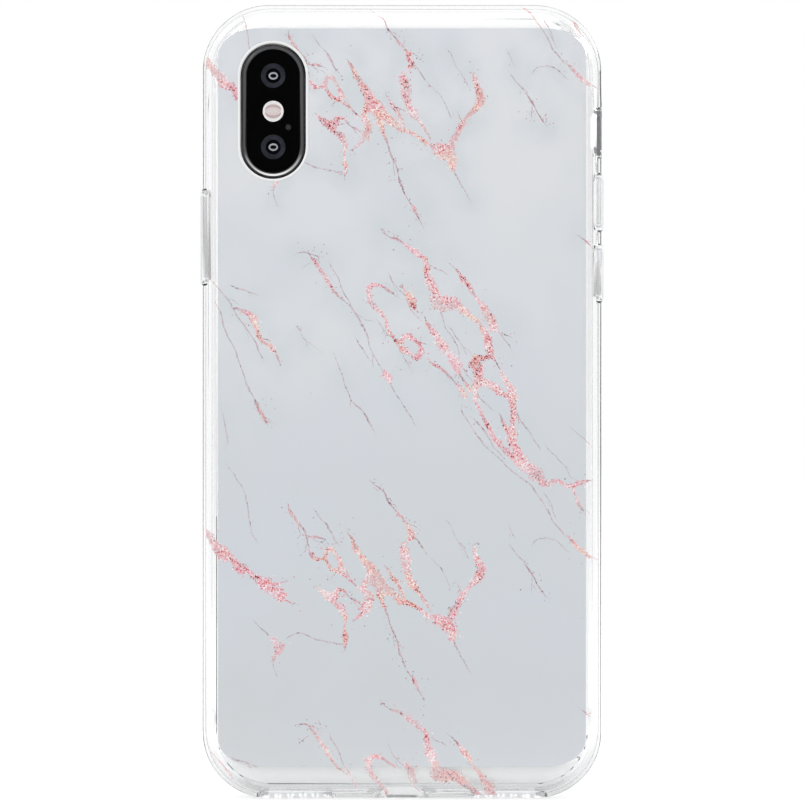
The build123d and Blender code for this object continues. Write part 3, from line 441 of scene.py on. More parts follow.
# The soft bumper's foot colour is painted shade, darker towards its bottom.
SOFT_CLEAR = clear_material(
    "clear soft plastic", (0.90, 0.906, 0.910), 0.06, 1.28, 0.3, foot=(0.80, 0.81, 0.815))
HARD_CLEAR = clear_material("clear hard plastic", (0.97, 0.974, 0.98), 0.01, 1.49, 0.1)
COVER_GLASS = clear_material("camera cover glass", (0.98, 0.985, 0.99), 0.0, 1.5, 0.05)

# %% [markdown]
# ## Smooth copies of CAD nodes
#
# A CAD node's mesh is loose triangles, which shade flat. Where a curved node shows, a copy is
# merged into one skin, its edges are marked sharp only where it really turns, and a Weighted
# Normal modifier keeps the flats flat. The copy then stands for the node. A new piece is closed
# and has its faces turned outwards, whichever way round its builder wrote them.

# %% Smooth copies and new pieces
CAD_WELD = 0.5e-6           # CAD corners this close, in metres, are one point


def mend(mesh, weld=None, outwards=True):
    """Merges points closer than the weld, and turns the faces outwards."""
    work = bmesh.new()
    work.from_mesh(mesh)
    if weld:
        bmesh.ops.remove_doubles(work, verts=work.verts, dist=weld)
    if outwards:
        bmesh.ops.recalc_face_normals(work, faces=work.faces)
    work.to_mesh(mesh)
    work.free()


def shade(mesh, sharp):
    """Smooth shading, but sharp where two faces meet at more than this many degrees."""
    mesh.shade_smooth()
    mesh.set_sharp_from_angle(angle=math.radians(sharp))


def smooth_copy(node, name, material, sharp=30):
    source = frame["nodes"][node]
    mesh = source.data.copy()
    mesh.name = name
    mend(mesh, CAD_WELD, outwards=False)
    shade(mesh, sharp)
    mesh.materials.clear()
    mesh.materials.append(material)
    piece = add_object(name, mesh)
    weigh = piece.modifiers.new("flats", "WEIGHTED_NORMAL")
    weigh.keep_sharp, weigh.weight = True, 90
    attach(piece, source["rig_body"])
    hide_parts(node)
    return piece


def new_piece(name, vertices, faces, material, body, sharp=None, weld=None, replaced=()):
    """A closed piece from points in metres, riding on a body."""
    mesh = bpy.data.meshes.new(name)
    mesh.from_pydata(vertices, [], faces)
    mesh.validate()
    mesh.update()
    mend(mesh, weld)
    if sharp:
        shade(mesh, sharp)
    mesh.materials.append(material)
    piece = add_object(name, mesh)
    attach(piece, body)
    if replaced:
        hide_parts(*replaced)
    return piece


# %% [markdown]
# ## Marble film: the veins
#
# The print repeats down the back: one tile, drawn here once, comes again every 86.9 mm. A vein
# is a route of listed points, each with its width in mm. Rose veins are glitter; grey ones
# are hairlines. A smooth curve through the points, shaken a little, gives them their broken,
# natural run.

# %% Vein routes
REPEAT = 86.9
ROSE_VEINS = [
    # Upper group.
    [(-37.0, 138.0, .5), (-34.6, 134.4, 1.2), (-32.5, 131.7, 1.7), (-30.9, 130.8, 1.3),
     (-30.1, 129.6, 1.8), (-28.4, 129.0, 1.2), (-25.7, 127.1, 1.3), (-22.7, 124.9, 1.8),
     (-22.0, 123.3, .5)],
    [(-24.0, 126.0, .4), (-21.7, 126.9, .3)],
    [(-20.9, 141.3, .4), (-20.4, 139.9, .8), (-19.5, 138.2, .7), (-18.0, 136.3, .4),
     (-17.3, 133.3, .3)],
    [(-17.8, 135.7, .3), (-16.8, 135.3, .5), (-14.3, 134.8, .35)],
    [(-17.2, 132.9, .7), (-16.4, 131.6, .9), (-15.5, 131.1, .9), (-14.3, 131.5, 1.1),
     (-14.0, 132.7, 1.0),
     (-13.0, 133.0, .8), (-12.2, 132.2, .6), (-11.5, 131.2, .8), (-11.2, 129.6, .8),
     (-12.1, 129.1, .7),
     (-10.9, 128.4, .6), (-9.8, 127.5, .5), (-8.5, 126.3, .4), (-7.6, 125.6, .3)],
    [(-14.4, 131.3, .6), (-13.3, 129.6, .7), (-12.4, 128.7, .6)],
    [(-15.8, 126.1, .5), (-14.6, 124.9, 1.2), (-13.3, 124.1, 1.7), (-12.3, 124.7, 1.3),
     (-11.8, 125.4, .9), (-10.8, 125.2, .5), (-9.9, 124.3, .35), (-8.8, 123.4, .3),
     (-7.6, 123.1, .3)],
    [(-13.2, 123.9, 1.1), (-12.2, 122.9, .9), (-10.8, 121.8, .9), (-10.3, 120.2, .7),
     (-10.4, 118.5, .4),
     (-10.3, 117.0, .9), (-10.4, 115.6, .5), (-10.6, 114.7, .3)],
    [(-10.3, 136.3, .3), (-9.6, 135.0, .6), (-8.6, 133.0, .8), (-7.4, 131.4, 1.1),
     (-6.2, 129.6, 1.4),
     (-5.3, 128.0, 2.1), (-4.2, 127.0, 2.2), (-2.6, 125.4, 1.4), (-.6, 123.7, 1.3),
     (2.0, 122.6, 1.0),
     (4.6, 120.7, 1.1), (6.0, 120.0, 1.5), (7.3, 119.3, 1.9), (8.7, 118.3, 1.8)],
    [(5.6, 120.6, .7), (8.0, 119.9, 1.7), (9.0, 118.6, 2.0), (9.4, 116.8, 1.0), (9.6, 116.0, .4)],
    [(8.6, 119.0, 1.7), (9.1, 120.4, 1.3), (10.3, 123.1, 1.1), (12.0, 126.1, .9),
     (13.4, 127.2, 1.1),
     (14.3, 127.9, 1.4), (14.5, 129.6, 1.3), (13.6, 131.9, .8), (13.1, 133.8, .4)],
    [(-6.2, 128.1, 1.1), (-6.7, 126.4, 1.0), (-6.9, 125.2, 1.1), (-6.2, 123.6, 1.4),
     (-6.6, 122.6, 1.2),
     (-7.2, 121.6, .9), (-7.6, 120.8, .6), (-8.8, 120.0, .4)],
    [(-4.5, 125.6, .7), (-3.9, 124.2, 1.0), (-3.5, 122.8, .6), (-2.7, 120.6, .3), (-2.0, 118.9, .4),
     (-1.2, 116.6, .35), (-.5, 114.3, .35), (.1, 112.6, .4), (1.3, 110.3, .3), (2.6, 108.4, .6),
     (3.2, 107.0, .35), (3.9, 105.5, .2)],
    [(-3.0, 129.7, .5), (-2.2, 128.6, .5), (-1.5, 127.4, .7), (-.6, 126.0, .6), (.6, 124.0, .5)],
    [(-5.9, 145.6, .3), (-3.7, 143.9, .3), (-2.6, 141.9, .4), (-1.4, 140.6, .4), (-.5, 139.4, .7),
     (.4, 138.0, .6), (1.6, 136.2, .8), (1.9, 135.4, 1.0), (1.2, 134.5, .6)],
    [(.1, 133.7, .7), (.5, 131.9, 1.2), (.7, 130.6, 1.3), (1.0, 129.0, 1.1), (1.4, 127.9, 1.2),
     (2.3, 126.6, 1.0), (3.3, 125.0, .9), (4.1, 123.9, .7), (5.0, 121.9, .5)],
    [(-24.3, 116.9, .5), (-22.8, 115.4, 1.0), (-22.4, 114.6, 1.1), (-23.4, 113.3, .5),
     (-23.7, 112.0, .3)],
    [(22.6, 130.6, .2), (23.4, 129.6, .4), (24.8, 127.0, .3), (25.8, 124.8, .25)],
    # Middle group.
    [(-3.8, 104.6, .4), (-2.6, 103.9, .5), (-.3, 102.9, .5), (2.0, 101.0, .7), (4.0, 99.5, .9),
     (4.5, 98.1, 1.1), (4.6, 96.8, 1.6), (5.6, 94.1, 1.4), (6.4, 92.5, 2.0), (7.0, 91.3, 2.8),
     (8.4, 91.0, 1.9), (10.0, 91.3, 1.5), (11.7, 89.8, 1.3), (13.3, 88.3, .9), (14.9, 86.3, .9),
     (15.5, 84.8, 1.0), (15.9, 83.2, 1.2), (16.2, 81.8, 1.3), (15.7, 81.2, 1.4), (14.2, 81.0, 1.2),
     (13.7, 80.4, 1.5), (13.9, 79.0, 1.3), (14.0, 77.8, 1.5), (13.6, 76.5, 1.2), (13.3, 74.5, .9),
     (13.7, 72.6, .7), (15.0, 70.3, .7), (16.4, 67.4, 1.0), (17.9, 65.3, .9), (19.9, 63.3, 1.0),
     (21.8, 61.6, 1.1)],
    [(15.7, 83.2, .6), (17.3, 80.3, .4), (18.4, 78.0, .6), (20.0, 75.4, 1.0), (20.1, 74.2, 1.5),
     (20.4, 72.3, 1.4), (20.2, 69.2, 1.2), (20.4, 66.2, 1.3), (21.6, 64.2, 1.6), (23.1, 61.6, 2.1),
     (25.1, 59.6, 1.7), (25.9, 58.2, 1.4), (27.3, 58.4, 1.1), (28.8, 58.8, .9), (30.3, 57.8, .9),
     (32.5, 58.2, .8), (34.6, 58.6, .5)],
    [(31.4, 57.4, .6), (32.4, 55.0, .6), (33.6, 53.2, .4)],
    [(9.6, 97.9, .4), (10.8, 96.8, .7), (13.0, 94.1, .6), (14.3, 92.0, .8), (15.2, 90.4, 1.0),
     (16.3, 88.3, 1.4), (16.9, 86.8, 1.4), (17.4, 86.1, .5)],
    [(4.5, 88.6, .6), (5.3, 87.0, .8), (6.3, 85.3, 1.0), (7.5, 83.5, 1.3), (8.4, 82.3, 1.4),
     (9.6, 80.6, 1.4), (10.1, 79.6, .9), (11.2, 77.9, .6), (12.1, 76.3, .7), (12.8, 75.2, .6)],
    [(-.6, 83.6, 1.1), (.2, 84.8, 1.0), (1.1, 85.7, .9), (2.6, 84.8, .8), (3.7, 83.1, 1.0),
     (3.6, 82.0, 1.3), (2.8, 81.4, 1.2), (1.6, 82.0, .8), (.5, 82.6, 1.3), (-.4, 83.3, 1.1)],
    [(.2, 94.3, .9), (1.4, 92.4, 1.0), (2.0, 91.0, .8), (2.7, 90.1, .5)],
    [(5.4, 80.6, .5), (7.4, 79.2, .8), (8.8, 77.9, .5), (10.0, 76.2, .4), (11.3, 74.6, .8),
     (11.5, 73.4, .5)],
    [(14.6, 77.6, .5), (15.5, 76.7, .9), (16.9, 75.9, 1.2), (18.8, 74.6, 1.0), (19.8, 73.6, .7)],
    [(18.1, 70.6, .5), (19.2, 68.1, .6), (19.9, 66.5, .4)],
    [(-1.4, 92.9, .5), (-3.3, 94.3, .6), (-4.9, 94.9, .8), (-5.8, 94.5, .9), (-6.3, 93.4, .8),
     (-5.9, 91.8, .8), (-5.2, 90.9, .9), (-3.4, 88.9, .8), (-2.7, 87.2, .7), (-2.0, 85.5, .7),
     (-.8, 84.0, 1.2)],
    [(-19.3, 100.7, .3), (-17.3, 100.6, .4), (-16.1, 99.0, .6), (-14.9, 97.3, .7),
     (-14.2, 95.7, .7),
     (-12.7, 93.6, .5), (-10.6, 91.6, .3)],
    [(-3.5, 78.6, .5), (-3.0, 77.9, 1.3), (-2.3, 76.9, .8)],
    [(-31.0, 90.7, .4), (-28.4, 89.3, .9), (-27.3, 87.9, 1.2), (-26.7, 86.9, 1.2),
     (-25.9, 84.6, .5),
     (-24.3, 83.4, .6), (-23.2, 81.9, .7), (-22.3, 80.1, .4)],
    [(-27.4, 73.8, .4), (-26.1, 71.2, .6), (-24.7, 68.8, .4)],
    [(30.2, 48.4, .4), (32.6, 46.2, .8), (34.6, 44.6, .7)],
]
GREY_VEINS = [
    # Upper group.
    [(-16.2, 140.3, .3), (-15.0, 138.6, .3), (-13.8, 137.4, .4), (-12.6, 135.3, .4),
     (-11.4, 133.6, .2)],
    [(2.1, 135.5, .3), (3.4, 134.0, .3), (4.6, 132.0, .2)],
    [(9.5, 116.2, .4), (10.5, 113.8, .3), (12.6, 110.4, .2)],
    [(8.4, 138.3, .2), (10.3, 134.8, .2), (12.4, 131.3, .2)],
    [(5.6, 131.5, .2), (7.8, 128.5, .2), (8.9, 125.2, .2)],
    [(19.7, 133.9, .2), (21.5, 131.7, .2), (22.8, 130.4, .3)],
    [(19.4, 137.4, .2), (20.9, 135.0, .2)],
    [(26.6, 141.6, .2), (27.6, 140.0, .2), (28.6, 138.6, .2)],
    [(24.0, 133.7, .2), (25.3, 135.0, .2), (28.0, 134.4, .2), (30.5, 132.8, .2)],
    [(-21.7, 116.4, .3), (-19.3, 117.6, .35), (-17.6, 117.4, .3), (-15.6, 116.4, .35),
     (-13.0, 115.8, .3), (-10.7, 115.4, .3)],
    [(-27.7, 120.1, .3), (-26.0, 118.4, .4), (-24.2, 116.8, .4)],
    [(-23.7, 112.2, .3), (-23.0, 109.2, .2)],
    # Middle group.
    [(4.6, 98.5, .2), (6.6, 97.6, .25), (8.4, 96.7, .2)],
    [(8.4, 98.8, .2), (9.8, 97.7, .35)],
    [(17.2, 86.8, .3), (19.2, 84.2, .3), (20.4, 82.4, .2)],
    [(7.4, 92.8, .25), (9.0, 91.6, .25)],
    [(11.1, 72.8, .3), (11.2, 71.0, .3), (13.0, 67.9, .3), (15.0, 65.4, .25), (16.4, 63.9, .3),
     (18.1, 62.4, .3),
     (21.4, 59.7, .4), (23.4, 58.0, .3), (25.6, 55.0, .3), (27.8, 51.6, .35), (30.2, 48.4, .4)],
    [(26.4, 56.4, .3), (27.8, 53.4, .25)],
    [(-10.6, 91.6, .35), (-9.9, 91.1, .3), (-8.2, 88.9, .35), (-6.7, 85.6, .4), (-5.7, 82.7, .3),
     (-4.0, 79.5, .35), (-3.0, 77.9, .3), (-1.6, 75.5, .3), (.6, 72.0, .3), (2.8, 68.5, .25)],
    [(-18.3, 98.3, .3), (-16.9, 99.0, .3)],
    [(-36.0, 96.2, .3), (-34.2, 94.6, .3), (-31.0, 90.7, .4)],
    [(-31.0, 90.5, .3), (-29.6, 88.0, .35), (-28.1, 85.7, .3), (-26.6, 82.9, .4),
     (-25.5, 80.8, .3)],
    [(-34.4, 92.4, .2), (-32.9, 87.0, .3), (-31.9, 84.9, .3), (-30.9, 83.0, .3), (-29.1, 77.9, .3),
     (-27.4, 73.8, .4), (-26.0, 71.0, .3), (-24.7, 68.8, .2)],
    [(-31.6, 94.8, .2), (-29.5, 94.0, .35), (-26.7, 92.8, .25)],
    [(-18.8, 86.0, .2), (-17.8, 84.3, .35), (-17.5, 83.2, .2)],
    [(-8.4, 84.7, .3), (-6.0, 81.0, .25)],
    [(-12.3, 81.7, .3), (-11.2, 78.8, .35), (-9.4, 73.6, .3), (-7.7, 72.0, .35),
     (-6.0, 69.4, .3), (-4.9, 67.2, .2)],
    [(26.4, 65.1, .2), (28.6, 62.9, .2), (30.8, 60.7, .2)],
    [(31.0, 68.6, .2), (34.5, 65.4, .2)],
    [(-33.1, 71.8, .2), (-32.0, 65.9, .3)],
    [(-32.4, 61.6, .2), (-30.4, 59.2, .2), (-28.9, 55.9, .3), (-28.1, 50.0, .3), (-26.7, 47.8, .2)],
    [(32.6, 103.6, .4), (34.6, 102.2, .4)],
    [(4.2, 90.6, .2), (3.2, 88.8, .2)],
    [(8.6, 87.4, .2), (10.4, 84.6, .2), (12.0, 82.0, .2)],
    [(-2.6, 96.8, .25), (-1.2, 94.4, .3), (0.6, 92.6, .25), (1.8, 90.2, .3), (3.6, 88.4, .2)],
    [(5.4, 92.0, .2), (7.0, 89.6, .3), (8.0, 86.8, .25), (9.6, 84.8, .3), (10.6, 81.8, .2)],
    [(-4.6, 88.6, .2), (-3.0, 86.0, .3), (-1.4, 84.4, .25), (0.4, 81.6, .3), (1.6, 79.2, .2)],
    [(11.4, 79.0, .2), (13.2, 76.8, .3), (14.6, 74.0, .3), (16.6, 71.8, .2)],
    [(-13.6, 99.2, .2), (-12.0, 96.2, .3), (-10.8, 93.6, .25), (-9.2, 90.8, .3), (-8.2, 88.4, .2)],
    [(12.8, 70.4, .2), (15.0, 68.0, .3), (16.8, 64.8, .25), (18.6, 62.8, .2)],
    [(20.0, 72.6, .2), (21.8, 69.8, .3), (23.4, 67.6, .25), (25.6, 64.6, .2)],
]
print("routes", len(ROSE_VEINS), "rose", len(GREY_VEINS), "grey")

# %% [markdown]
# ## Marble film: one mesh that holds the drawing
#
# A printed vein could be an image, but here it is geometry. The film's front face is cut along
# every vein's middle and both of its edges with a constrained Delaunay triangulation. A number
# on each vertex is 1 in the middle of a vein and 0 at its edge, and the shader reads it. That
# stays crisp at any distance, where the same number on an even grid would need millions of
# points.

# %% Film outline
film_low, film_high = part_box("case_print_film")
ring_low, ring_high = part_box("camera_island_ring")      # its foot is wider than what shows
FILM_W = (film_high.x - film_low.x) / 2 / MM
FILM_Z = (film_low.z / MM, film_high.z / MM)
CORNER_ACROSS, CORNER_UP = 7.35, 5.15      # the quarter ellipses at the print's corners
lens_x = (ring_low.x + ring_high.x) / 2 / MM
lens_z = (ring_low.z + ring_high.z) / 2 / MM
HOLE_HALF_W, HOLE_HALF_H = 6.55, 13.02      # the pill-shaped opening round the camera island


def rounded_outline(x, low_z, high_z, across, up, steps):
    """Points round a rectangle, from the centres and the two radii of its rounded corners."""
    points = []
    for cx, cz, start in ((x, high_z, 0.0), (-x, high_z, 0.5), (-x, low_z, 1.0), (x, low_z, 1.5)):
        for i in range(steps + 1):
            a = math.pi * (start + 0.5 * i / steps)
            points.append((cx + across * math.cos(a), cz + up * math.sin(a)))
    return points


def pill_points(x, z, half_w, half_h, steps=40):
    """Points round an upright pill: two half circles and the straight sides between them."""
    points = []
    for sign, start in ((1, 0.0), (-1, 1.0)):
        for i in range(steps + 1):
            a = math.pi * (start + i / steps)
            middle = z + sign * (half_h - half_w)
            points.append((x + half_w * math.cos(a), middle + half_w * math.sin(a)))
    return points


def in_film(x, z):
    """True inside the print and outside the camera opening, for arrays of points."""
    ax = np.abs(x)
    cx = np.maximum(ax - (FILM_W - CORNER_ACROSS), 0) / CORNER_ACROSS
    top = np.maximum(z - (FILM_Z[1] - CORNER_UP), 0) / CORNER_UP
    low = np.maximum((FILM_Z[0] + CORNER_UP) - z, 0) / CORNER_UP
    inside = (ax < FILM_W) & (z > FILM_Z[0]) & (z < FILM_Z[1])
    inside &= cx**2 + np.maximum(top, low)**2 < 1
    rise = HOLE_HALF_H - HOLE_HALF_W
    dz = np.maximum(np.abs(z - lens_z) - rise, 0)
    return inside & ((x - lens_x)**2 + dz**2 > HOLE_HALF_W**2)


film_outline = rounded_outline(
    FILM_W - CORNER_ACROSS, FILM_Z[0] + CORNER_UP, FILM_Z[1] - CORNER_UP, CORNER_ACROSS,
    CORNER_UP, 14)
island_hole = pill_points(lens_x, lens_z, HOLE_HALF_W, HOLE_HALF_H, 28)

# %% Vein curves
STEP = 0.55                    # spacing of the sampled points, in mm
SKIRT = 1.9                    # a vein's mask fades out at this many half widths
THINNEST, WIDEST = 0.12, 3     # limits of a vein's width, in mm
TAPER = 0.4                    # what is left of a vein's width at its two ends
SPLINTERS_PER_MM = 0.28


def smooth_route(route, rng, shake):
    """A curve through the points, as rows of x, z and half width, with a little fractal shake."""
    p = np.array(route, float)
    ends = np.vstack([2 * p[0] - p[1], p, 2 * p[-1] - p[-2]])
    rows = []
    for a, b, c, d in zip(ends, ends[1:], ends[2:], ends[3:]):
        count = max(2, int(np.hypot(*(c - b)[:2]) / STEP))
        t = np.linspace(0, 1, count, endpoint=False)[:, None]
        rows.append(0.5 * (2 * b + (c - a) * t + (2 * a - 5 * b + 4 * c - d) * t**2
                           + (3 * b - a - 3 * c + d) * t**3))
    rows = np.vstack(rows + [p[-1:]])
    rows[:, 2] = np.clip(rows[:, 2], THINNEST, WIDEST) / 2
    rows[:, 2] *= np.interp(rows[:, 2], (0.15, 0.5), (0.66, 1.02))
    n = len(rows)
    for octave, size in ((3, 1.0), (7, 0.6), (16, 0.4)):
        knots = max(2, n // max(1, 18 // octave) + 1)
        for axis in (0, 1):
            bend = np.interp(np.linspace(0, knots - 1, n), range(knots), rng.normal(0, 1, knots))
            rows[:, axis] += shake * size * bend
    for every, size in ((2, 0.2), (6, 0.16)):
        knots = n // every + 2
        swell = np.interp(np.linspace(0, knots - 1, n), range(knots), rng.normal(1, size, knots))
        rows[:, 2] *= np.clip(swell, 0.45, 1.8)
    rows[0, 2] *= TAPER
    rows[-1, 2] *= TAPER
    return rows


def splinters(rows, rng, share):
    """Short fine cracks that leave a vein at a low angle, as stone splits along its run."""
    found = []
    length = STEP * len(rows)
    for _ in range(int(length * SPLINTERS_PER_MM * share + rng.uniform(0, 1))):
        start = rng.integers(2, max(3, len(rows) - 2))
        run = rows[min(start + 2, len(rows) - 1), :2] - rows[start - 2, :2]
        run /= max(np.hypot(*run), 1e-6)
        turn = rng.choice((-1, 1)) * rng.uniform(0.15, 0.6)
        run = np.array([run[0] * math.cos(turn) - run[1] * math.sin(turn),
                        run[0] * math.sin(turn) + run[1] * math.cos(turn)])
        size = rng.uniform(1.2, 3.6)
        wide = min(rows[start, 2] * rng.uniform(0.7, 1.3), 0.55)
        route = []
        for i in range(4):
            bend = rng.normal(0, 0.12, 2)
            point = rows[start, :2] + run * size * i / 3 + bend * (i > 0)
            route.append((*point, wide * (1 - i / 3.6)))
        found.append(route)
    return found


def vein_set(routes, seed, shake, share):
    """Every copy of every route that can touch the print, with its splinters."""
    rng = np.random.default_rng(seed)
    found = []
    curves = []
    for route in routes:
        rows = smooth_route(route, rng, shake)
        curves.append(rows)
        curves += [smooth_route(r, rng, shake * 0.6) for r in splinters(rows, rng, share)]
    for rows in curves:
        for copy in (1, 0, -1):
            moved = rows.copy()
            moved[:, 1] += copy * REPEAT
            if moved[:, 1].max() > FILM_Z[0] and moved[:, 1].min() < FILM_Z[1]:
                found.append(moved)
    return found


rose_curves = vein_set(ROSE_VEINS, 5, 0.13, 0.9)
grey_curves = vein_set(GREY_VEINS, 9, 0.11, 0.25)
print("curves", len(rose_curves), len(grey_curves))


# %% Film triangulation
GRID_INSET, GRID_SHAKE = 0.7, 0.3      # of the loose points that fill the sheet, in mm


def add_chain(points, edges, rows, closed=False):
    first = len(points)
    points.extend(Vector((float(x), float(z))) for x, z in rows)
    count = len(rows)
    edges.extend((first + i, first + i + 1) for i in range(count - 1))
    if closed:
        edges.append((first + count - 1, first))


def side_lines(rows, share):
    """The middle line moved sideways by a share of its half width, to both sides."""
    run = np.gradient(rows[:, :2], axis=0)
    run /= np.maximum(np.hypot(run[:, 0], run[:, 1]), 1e-9)[:, None]
    across = np.column_stack([-run[:, 1], run[:, 0]])
    return [rows[:, :2] + side * share * rows[:, 2:3] * across for side in (-1, 1)]


def cut_along_veins(outline, hole, allowed, spacing, edge_x, edge_z):
    """Triangles inside an outline and outside a hole, cut along each vein that crosses there."""
    points, edges = [], []
    add_chain(points, edges, outline, True)
    add_chain(points, edges, hole, True)
    for rows in rose_curves + grey_curves:
        if not allowed(rows[:, 0], rows[:, 1]).any():
            continue
        add_chain(points, edges, rows[:, :2])
        for line in side_lines(rows, SKIRT):
            add_chain(points, edges, line)
    rng = np.random.default_rng(2)
    for x in np.arange(-edge_x + GRID_INSET, edge_x, spacing):
        for z in np.arange(edge_z[0] + GRID_INSET, edge_z[1], spacing):
            px = x + rng.uniform(-GRID_SHAKE, GRID_SHAKE)
            pz = z + rng.uniform(-GRID_SHAKE, GRID_SHAKE)
            points.append(Vector((float(px), float(pz))))
    verts, _, faces, _, _, _ = delaunay_2d_cdt(points, edges, [], 0, 1e-4)
    flat = np.array([(v.x, v.y) for v in verts])
    tris = np.array(faces)
    centre = flat[tris].mean(axis=1)
    tris = tris[allowed(centre[:, 0], centre[:, 1])]
    used = np.unique(tris)
    index = np.full(len(flat), -1)
    index[used] = np.arange(len(used))
    return flat[used], index[tris]


film_points, film_faces = cut_along_veins(
    film_outline, island_hole, in_film, spacing=1.5, edge_x=FILM_W, edge_z=FILM_Z)
print("film points", len(film_points), "triangles", len(film_faces))


# %% Vein numbers on the vertices
NEAR = 8                       # a vein further off than this, in mm, is passed over
HALO_REACH, GREY_LAG, DUST_REACH = 3.0, 0.8, 0.5      # how far haze and stray flecks go, in mm


def nearest(points, curves):
    """For each point: how far inside a vein it is, its distance from one, and that vein's width."""
    strength = np.zeros(len(points))
    least = np.full(len(points), 1e3)
    girth = np.zeros(len(points))
    for rows in curves:
        low, high = rows[:, :2].min(0) - NEAR, rows[:, :2].max(0) + NEAR
        near = ((points > low) & (points < high)).all(axis=1)
        if not near.any():
            continue
        p = points[near]
        a, b = rows[:-1], rows[1:]
        ab = b[:, :2] - a[:, :2]
        size = np.maximum((ab**2).sum(1), 1e-12)
        rel = p[:, None, :] - a[None, :, :2]
        t = np.clip((rel * ab).sum(2) / size, 0, 1)
        gap = np.hypot(rel[..., 0] - t * ab[:, 0], rel[..., 1] - t * ab[:, 1])
        half = a[:, 2] + t * (b[:, 2] - a[:, 2])
        strength[near] = np.maximum(strength[near], (1 - gap / (SKIRT * half)).max(axis=1))
        least[near] = np.minimum(least[near], gap.min(axis=1))
        here = np.where(gap < SKIRT * half + 0.3, half, 0)
        girth[near] = np.maximum(girth[near], here.max(axis=1))
    return np.clip(strength, 0, 1), least, girth


def vein_numbers(points):
    """The named numbers that the marble's shader reads, one per vertex."""
    rose, rose_gap, girth = nearest(points, rose_curves)
    grey, grey_gap, _ = nearest(points, grey_curves)
    halo = np.exp(-(np.minimum(rose_gap, grey_gap + GREY_LAG) / HALO_REACH) ** 2)
    dust = np.exp(-rose_gap / DUST_REACH)
    return {"rose": rose, "grey": grey, "halo": halo, "dust": dust, "girth": girth}


film_numbers = vein_numbers(film_points)
print("rose vertices", int((film_numbers["rose"] > 0).sum()))

# %% [markdown]
# ## Marble film: the finish
#
# Under gloss, the stone is a pale cool grey, a little darker towards the bottom, with soft
# clouds in it. Round the veins it is darker and bluer. The veins are glitter: cells of about a
# fifth of a millimetre, each with its own colour from near white through pink and salmon to
# dark rose. Each cell also decides by itself whether it is still vein, which gives a vein its
# crumbling edge.

# %% Glitter group
CELL, GREY_CELL, TRACE_CELL = 0.21 * MM, 0.30 * MM, 0.26 * MM


def glitter_group():
    group, given = new_group(
        "glitter", (("Vein", "Float", 0.0), ("Dust", "Float", 0.0), ("Cell", "Float", CELL)),
        (("Mask", "Float"), ("Colour", "Color"), ("Spark", "Float")))
    place = object_place(group)
    scale = maths(group, "DIVIDE", 1.0, given["Cell"])
    flakes = add_node(
        group, "ShaderNodeTexVoronoi", None, Vector=place, Scale=scale, Randomness=1.0)
    odds = add_node(group, "ShaderNodeSeparateColor", None, Color=flakes.outputs["Color"]).outputs
    # A cell is vein where the vein's number clears this cell's own hurdle.
    hurdle = maths(group, "MULTIPLY", odds[0], 0.40)
    hurdle = maths(group, "ADD", hurdle, maths(group, "MULTIPLY", noise(group, place, 700.0), 0.55))
    hurdle = maths(group, "MULTIPLY_ADD", noise(group, place, 210.0), 0.6, add=hurdle)
    hurdle = maths(group, "SUBTRACT", hurdle, 0.30)
    body = spread(group, maths(group, "SUBTRACT", given["Vein"], hurdle), -0.06, 0.06)
    stray = maths(group, "LESS_THAN", odds[2], maths(group, "MULTIPLY", given["Dust"], 0.06))
    mask = maths(group, "MAXIMUM", body, stray)
    # Its colour is drawn by lot, with a lean that makes some stretches paler than others.
    lean = spread(group, noise(group, place, 190.0), 0.34, 0.66, -0.24, 0.16)
    pick = maths(group, "ADD", odds[1], lean, clamp=True)
    colour = ramp(group, pick, [
        (0.0, linear(250, 246, 246)), (0.15, linear(240, 216, 222)), (0.32, linear(240, 190, 198)),
        (0.50, linear(238, 180, 177)), (0.65, linear(244, 207, 190)), (0.76, linear(226, 144, 150)),
        (0.89, linear(200, 88, 94)), (0.97, linear(96, 44, 44)),
    ], smooth=False)
    hue = ramp(group, noise(group, place, 130.0, 1.0), [
        (0.36, (1.0, 0.89, 0.95)), (0.5, (1.0, 0.98, 1.0)), (0.66, (1.0, 0.94, 0.87))])
    colour = mixed(group, 1.0, colour, hue, "MULTIPLY")
    worn = ramp(group, noise(group, place, 240.0), [(0.52, 0.0), (0.66, 0.42)])
    colour = mixed(group, worn, colour, linear(206, 200, 206))
    add_node(group, "NodeGroupOutput", None, Mask=mask, Colour=colour, Spark=odds[2])
    return group


GLITTER = glitter_group()


